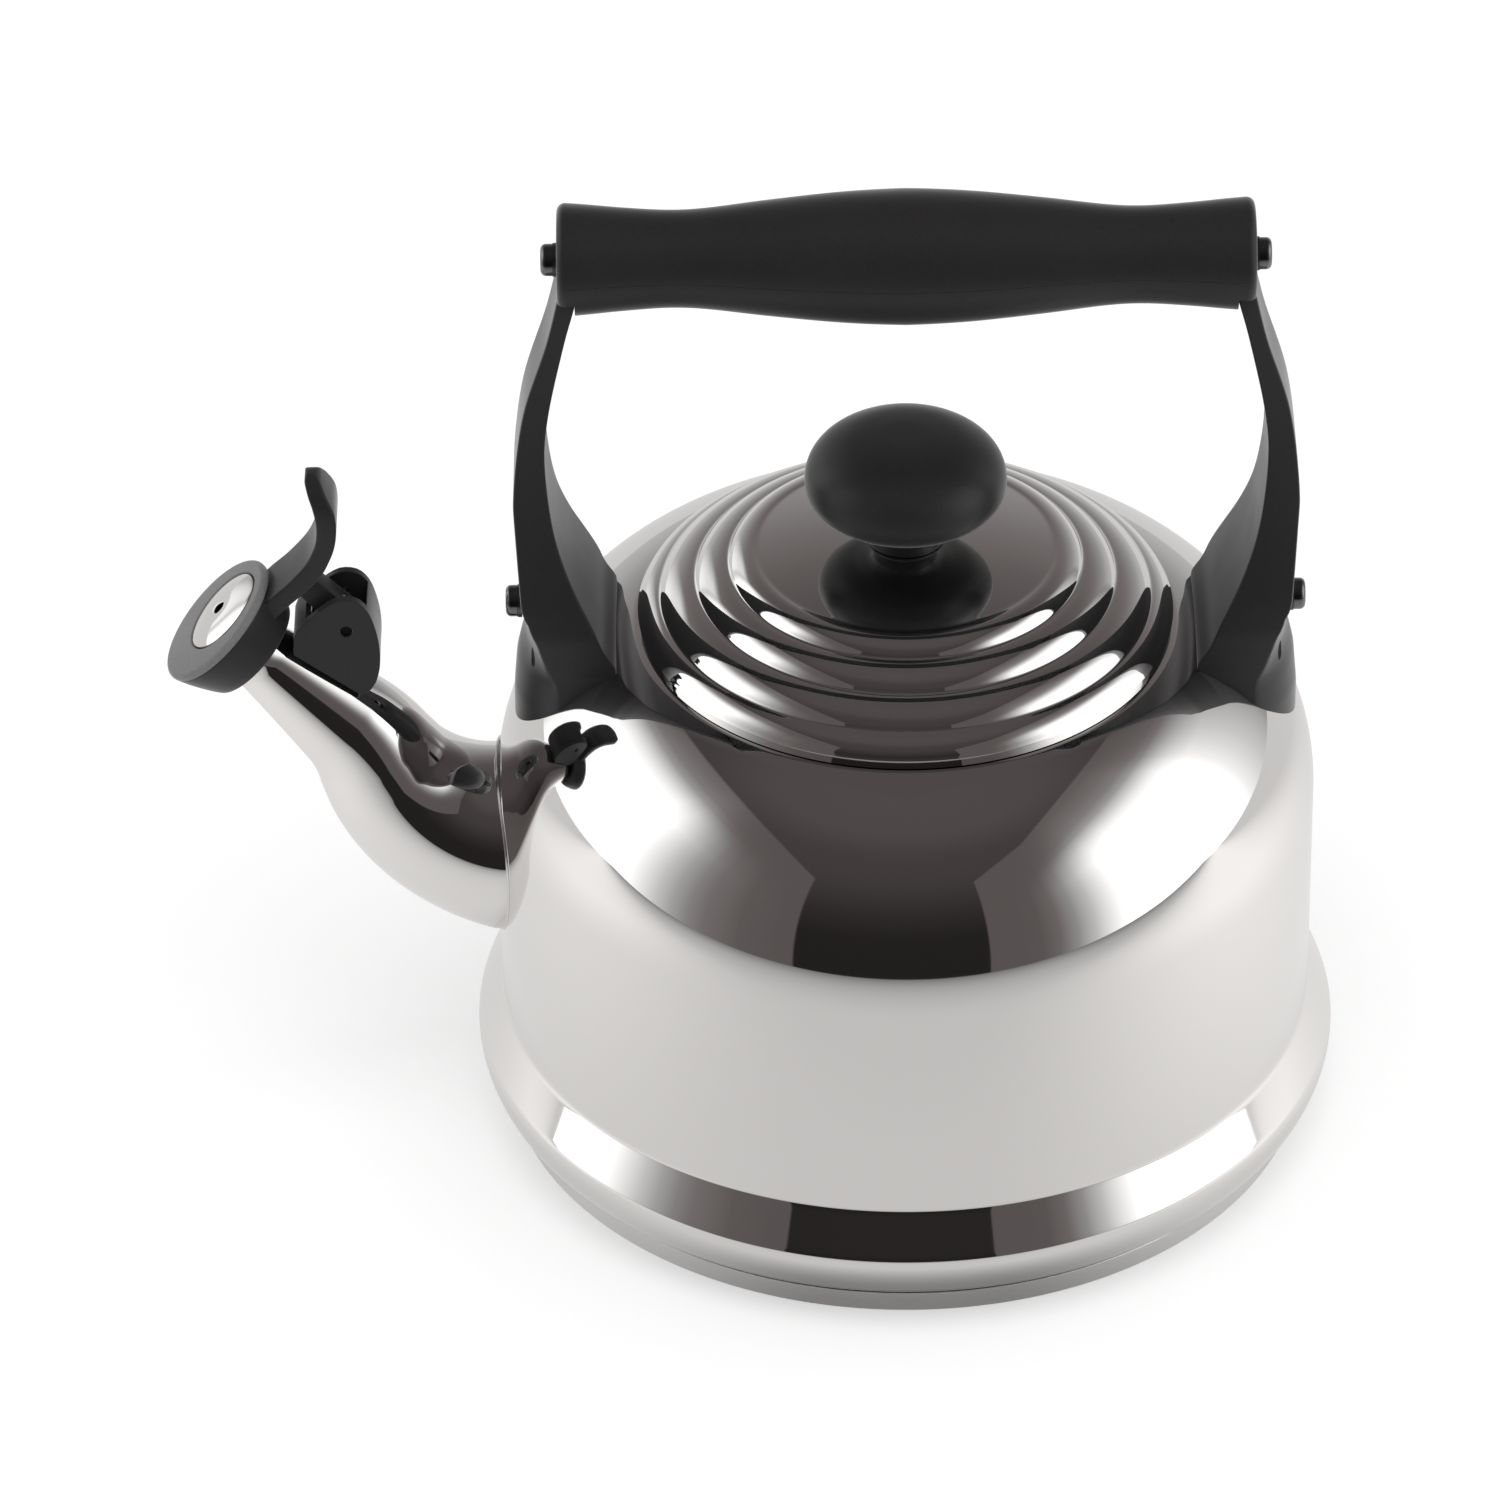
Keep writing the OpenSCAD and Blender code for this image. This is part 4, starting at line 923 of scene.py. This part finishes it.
half_path += [(floor_up, coil_out, 3.6), (floor_up, coil_out, 6.6), (floor_up, coil_out - 0.6, 7.2)]
wire_path = [Vector(p) for p in half_path] + [Vector((p[0], -p[1], p[2])) for p in half_path[::-1]]
wire = bpy.data.curves.new("return_spring_wire", "CURVE")
wire.dimensions, wire.bevel_depth, wire.bevel_resolution, wire.use_fill_caps = "3D", WIRE_R * MM, 4, True
line = wire.splines.new("POLY")
line.points.add(len(wire_path) - 1)
to_pin = AT_MOUTH @ Matrix.Translation((PIN_UP * MM, 0, -PIN_BACK * MM))
for point, p in zip(line.points, wire_path):
    point.co = (to_pin @ (p * MM)).to_4d()
spring = bpy.data.objects.new("return_spring_wire", wire)
bpy.context.scene.collection.objects.link(spring)
wire.materials.append(FINISH["spring_steel"])
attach(spring, "kettle")
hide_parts("return_spring")

# ---------------------------------------------------------------- fasteners and inner pieces

SLOT_OF = {entry["node"]: entry["material_slot"] for entry in frame["record"]["subparts"]}
for node in ("grip_screws", "foot_screws"):
    refined(node, node + "_eased", "kettle", SLOT_OF[node], bevel=0.12)
for node, obj in frame["nodes"].items():
    obj.data.materials.clear()
    obj.data.materials.append(FINISH[SLOT_OF[node]])

# ---------------------------------------------------------------- floor, surroundings and light


def floor_material():
    """White to the eye with a soft shadow. Metal sees a pale table with an edge towards the viewer."""
    material = bpy.data.materials.new("pale floor")
    material.use_nodes = True
    tree = material.node_tree
    tree.nodes.clear()
    n = Nodes(tree)
    diffuse = n.add("BsdfDiffuse")
    diffuse.inputs["Color"].default_value = (0.75, 0.75, 0.75, 1)
    white = n.add("Emission")
    white.inputs["Strength"].default_value = 0.36
    seen = n.add("AddShader")
    n.plug(seen.inputs[0], diffuse.outputs[0])
    n.plug(seen.inputs[1], white.outputs[0])
    place = n.add("SeparateXYZ")
    n.plug(place.inputs[0], n.add("TexCoord").outputs["Object"])
    x, y = place.outputs[0], place.outputs[1]
    # How bright the table is along its depth, dark towards the viewer's edge
    along = n.ramp(y, [(-0.62, 0.2), (-0.56, 0.28), (-0.48, 0.39), (-0.40, 0.50), (-0.32, 0.595),
                       (-0.24, 0.685), (-0.16, 0.72), (0.0, 0.74)])

    def pool(edge, way, stretch, level):
        """Light pooled on the table under one side panel, full from edge outwards."""
        inwards = n.calc("SUBTRACT", edge, n.calc("MULTIPLY", x, way))
        across = n.calc("MAXIMUM", n.calc("MULTIPLY", inwards, stretch), 0.0)
        depth = n.calc("MULTIPLY", n.calc("ADD", y, 0.03), 1.1)
        return n.fade(n.length(across, depth), 0.35, 0.02, 0.0, level)

    pooled = n.calc("ADD", pool(0.34, 1.0, 1.0, 0.45), pool(0.42, -1.0, 0.85, 0.38))
    # Under the kettle the table is darker, most of all at the front and the back: a painted shadow of the
    # kettle on the table that the metal mirrors
    radius = n.length(x, y)
    sideways = n.fade(n.calc("ABSOLUTE", x), 0.02, 0.085, 0.36, 0.85)
    under = n.fade(radius, 0.099, 0.132, sideways, 1.0)
    table = n.add("Emission")
    n.plug(table.inputs["Strength"], n.calc("MULTIPLY", n.calc("ADD", along, pooled), under))
    table.inputs["Color"].default_value = (1.0, 0.985, 0.97, 1)
    beyond = n.add("BsdfTransparent")
    mirrored = n.add("MixShader")
    n.plug(mirrored.inputs[0], n.fade(y, -0.615, -0.585))
    n.plug(mirrored.inputs[1], beyond.outputs[0])
    n.plug(mirrored.inputs[2], table.outputs[0])
    choice = n.add("MixShader")
    n.plug(choice.inputs[0], n.add("LightPath").outputs["Is Glossy Ray"])
    n.plug(choice.inputs[1], seen.outputs[0])
    n.plug(choice.inputs[2], mirrored.outputs[0])
    n.plug(n.add("OutputMaterial").inputs["Surface"], choice.outputs[0])
    return material


floor_mesh = bmesh.new()
bmesh.ops.create_grid(floor_mesh, x_segments=1, y_segments=1, size=6.0)
floor_data = bpy.data.meshes.new("floor")
floor_mesh.to_mesh(floor_data)
floor_mesh.free()
floor = bpy.data.objects.new("floor", floor_data)
bpy.context.scene.collection.objects.link(floor)
floor_data.materials.append(floor_material())


def studio_world():
    """White to the eye, an even pale light for matt surfaces, and for gloss the studio round the
    kettle: two lit side panels, a warm grey card overhead, a dark gap at the front, a pale backdrop."""
    world = bpy.data.worlds.new("studio")
    bpy.context.scene.world = world
    world.use_nodes = True
    tree = world.node_tree
    tree.nodes.clear()
    n = Nodes(tree)
    way = n.add("SeparateXYZ")
    n.plug(way.inputs[0], n.add("TexCoord").outputs["Generated"])
    dx, dy, dz = way.outputs
    # Depth and height where a direction meets a side panel, one unit away
    reach = n.calc("MAXIMUM", n.calc("ABSOLUTE", dx), 0.0005)
    along, height = n.calc("DIVIDE", dy, reach), n.calc("DIVIDE", dz, reach)
    # The card overhead and the gap, by height above the horizon
    card = n.ramp(dz, [(-0.3, 0.020), (0.2, 0.021), (0.42, 0.036), (0.57, 0.053), (0.68, 0.066),
                       (0.83, 0.072), (0.88, 0.083), (0.93, 0.096), (1.0, 0.102)])
    # The pale backdrop behind
    backdrop = n.ramp(dz, [(-0.2, 0.60), (0.0, 0.565), (0.14, 0.49), (0.276, 0.37), (0.407, 0.29),
                           (0.53, 0.21), (0.643, 0.15), (0.743, 0.115), (0.87, 0.098), (1.0, 0.098)])
    # How bright the panels are along their length and up their height
    left = n.ramp(along, [(-1.45, 0.0), (-1.0, 0.015), (-0.7, 0.085), (-0.577, 0.167), (-0.466, 0.33),
                          (-0.364, 0.58), (-0.268, 0.92), (-0.176, 1.3), (-0.05, 1.6), (0.6, 1.5),
                          (1.0, 0.9)])
    right = n.ramp(along, [(-1.73, 0.0), (-1.43, 0.006), (-1.19, 0.06), (-1.0, 0.22), (-0.84, 0.52),
                           (-0.7, 0.96), (-0.577, 1.4), (-0.4, 1.7), (0.2, 1.6), (0.3, 1.3), (0.36, 1.05),
                           (0.47, 0.8), (0.58, 0.62), (0.84, 0.31)])
    upright = n.ramp(height, [(0.0, 1.0), (0.68, 1.0), (0.84, 0.78), (0.93, 0.62), (1.035, 0.40),
                              (1.15, 0.18), (1.28, 0.09), (1.48, 0.05), (1.75, 0.02)])
    panel_base = 0.125
    is_right = n.calc("GREATER_THAN", dx, 0.0)
    is_left = n.calc("SUBTRACT", 1.0, is_right)
    glow = n.calc("ADD", n.calc("MULTIPLY", left, is_left), n.calc("MULTIPLY", right, is_right))
    panel = n.calc("ADD", n.calc("MULTIPLY", glow, upright), panel_base)
    # Where each panel starts at the front, ends at the back and stops at the top
    left_start, right_start, ends, edge_blur, end_blur = -1.73, -2.6, 0.95, 0.03, 0.15
    left_top, right_top, right_rise = 1.65, 1.87, 0.3
    starts = n.calc("ADD", n.calc("MULTIPLY", is_left, left_start), n.calc("MULTIPLY", is_right, right_start))
    from_front = n.calc("SUBTRACT", along, starts)
    behind = n.fade(along, ends - end_blur, ends + end_blur)
    on_length = n.calc("MULTIPLY", n.fade(from_front, -edge_blur, edge_blur), n.calc("SUBTRACT", 1.0, behind))
    rising = n.calc("MULTIPLY", n.calc("MAXIMUM", n.calc("SUBTRACT", -1.0, along), 0.0), right_rise)
    right_more = n.calc("MULTIPLY", n.calc("ADD", rising, right_top - left_top), is_right)
    under_top = n.calc("SUBTRACT", n.calc("ADD", left_top, right_more), height)
    on_panel = n.calc("MULTIPLY", on_length, n.fade(under_top, -edge_blur, edge_blur))
    # Behind the panels' ends comes the backdrop, with a pale flank of its own on the left
    flank = n.calc("MULTIPLY", n.fade(along, 2.2, 1.2, 0.0, 0.62), n.fade(dz, 0.56, 0.42))
    flank = n.calc("MULTIPLY", flank, is_left)
    empty = n.calc("ADD", n.calc("MULTIPLY", card, n.calc("SUBTRACT", 1.0, behind)),
                  n.calc("MULTIPLY", n.calc("ADD", backdrop, flank), behind))
    level = n.calc("ADD", n.calc("MULTIPLY", panel, on_panel),
                  n.calc("MULTIPLY", empty, n.calc("SUBTRACT", 1.0, on_panel)))
    warm = n.blend_shades(n.fade(level, 0.08, 0.4), (1.0, 0.86, 0.86, 1), (1.0, 0.995, 0.985, 1))
    mirrored = n.add("Background")
    n.plug(mirrored.inputs["Color"], warm)
    n.plug(mirrored.inputs["Strength"], level)
    even = n.add("Background")
    even.inputs["Color"].default_value = (1, 1, 1, 1)
    even.inputs["Strength"].default_value = 0.72
    white = n.add("Background")
    white.inputs["Color"].default_value = (1, 1, 1, 1)
    white.inputs["Strength"].default_value = 1.0
    rays = n.add("LightPath")
    for_gloss, for_eye = n.add("MixShader"), n.add("MixShader")
    n.plug(for_gloss.inputs[0], rays.outputs["Is Glossy Ray"])
    n.plug(for_gloss.inputs[1], even.outputs[0])
    n.plug(for_gloss.inputs[2], mirrored.outputs[0])
    n.plug(for_eye.inputs[0], rays.outputs["Is Camera Ray"])
    n.plug(for_eye.inputs[1], for_gloss.outputs[0])
    n.plug(for_eye.inputs[2], white.outputs[0])
    n.plug(n.add("OutputWorld").inputs["Surface"], for_eye.outputs[0])


studio_world()


def soft_lamp(name, spot, aim, size, watts):
    """A square lamp for the matt surfaces, not mirrored in the metal."""
    lamp = bpy.data.lights.new(name, "AREA")
    lamp.shape, lamp.size, lamp.energy = "SQUARE", size, watts
    holder = bpy.data.objects.new(name, lamp)
    bpy.context.scene.collection.objects.link(holder)
    holder.location = spot
    holder.rotation_euler = (Vector(aim) - Vector(spot)).to_track_quat("-Z", "Y").to_euler()
    holder.visible_glossy = False
    holder.visible_camera = False


CENTRE = (cad_box[0] + cad_box[1]) / 2
soft_lamp("lamp overhead", (0.1, -0.5, 1.6), CENTRE, 1.4, 9.0)

# ---------------------------------------------------------------- camera

ELEVATION = math.radians(35.576)
DISTANCE = 2.42294
ROLL = math.radians(-0.539)
AIM = Vector((-0.037597, 0, 0.095818))
back = Vector((0, -math.cos(ELEVATION), math.sin(ELEVATION)))
right_way = Vector((1, 0, 0))
up_way = back.cross(right_way)
right_way, up_way = (math.cos(ROLL) * right_way + math.sin(ROLL) * up_way,
                     math.cos(ROLL) * up_way - math.sin(ROLL) * right_way)
camera_data = bpy.data.cameras.new("camera")
camera_data.lens, camera_data.sensor_width = 240.0, 36.0
camera_data.clip_start, camera_data.clip_end = 0.1, 20.0
camera = bpy.data.objects.new("camera", camera_data)
bpy.context.scene.collection.objects.link(camera)
camera.matrix_world = Matrix.Translation(AIM + back * DISTANCE) @ Matrix(
    (right_way, up_way, back)).transposed().to_4x4()
bpy.context.scene.camera = camera
bpy.context.scene.view_settings.view_transform = "Standard"
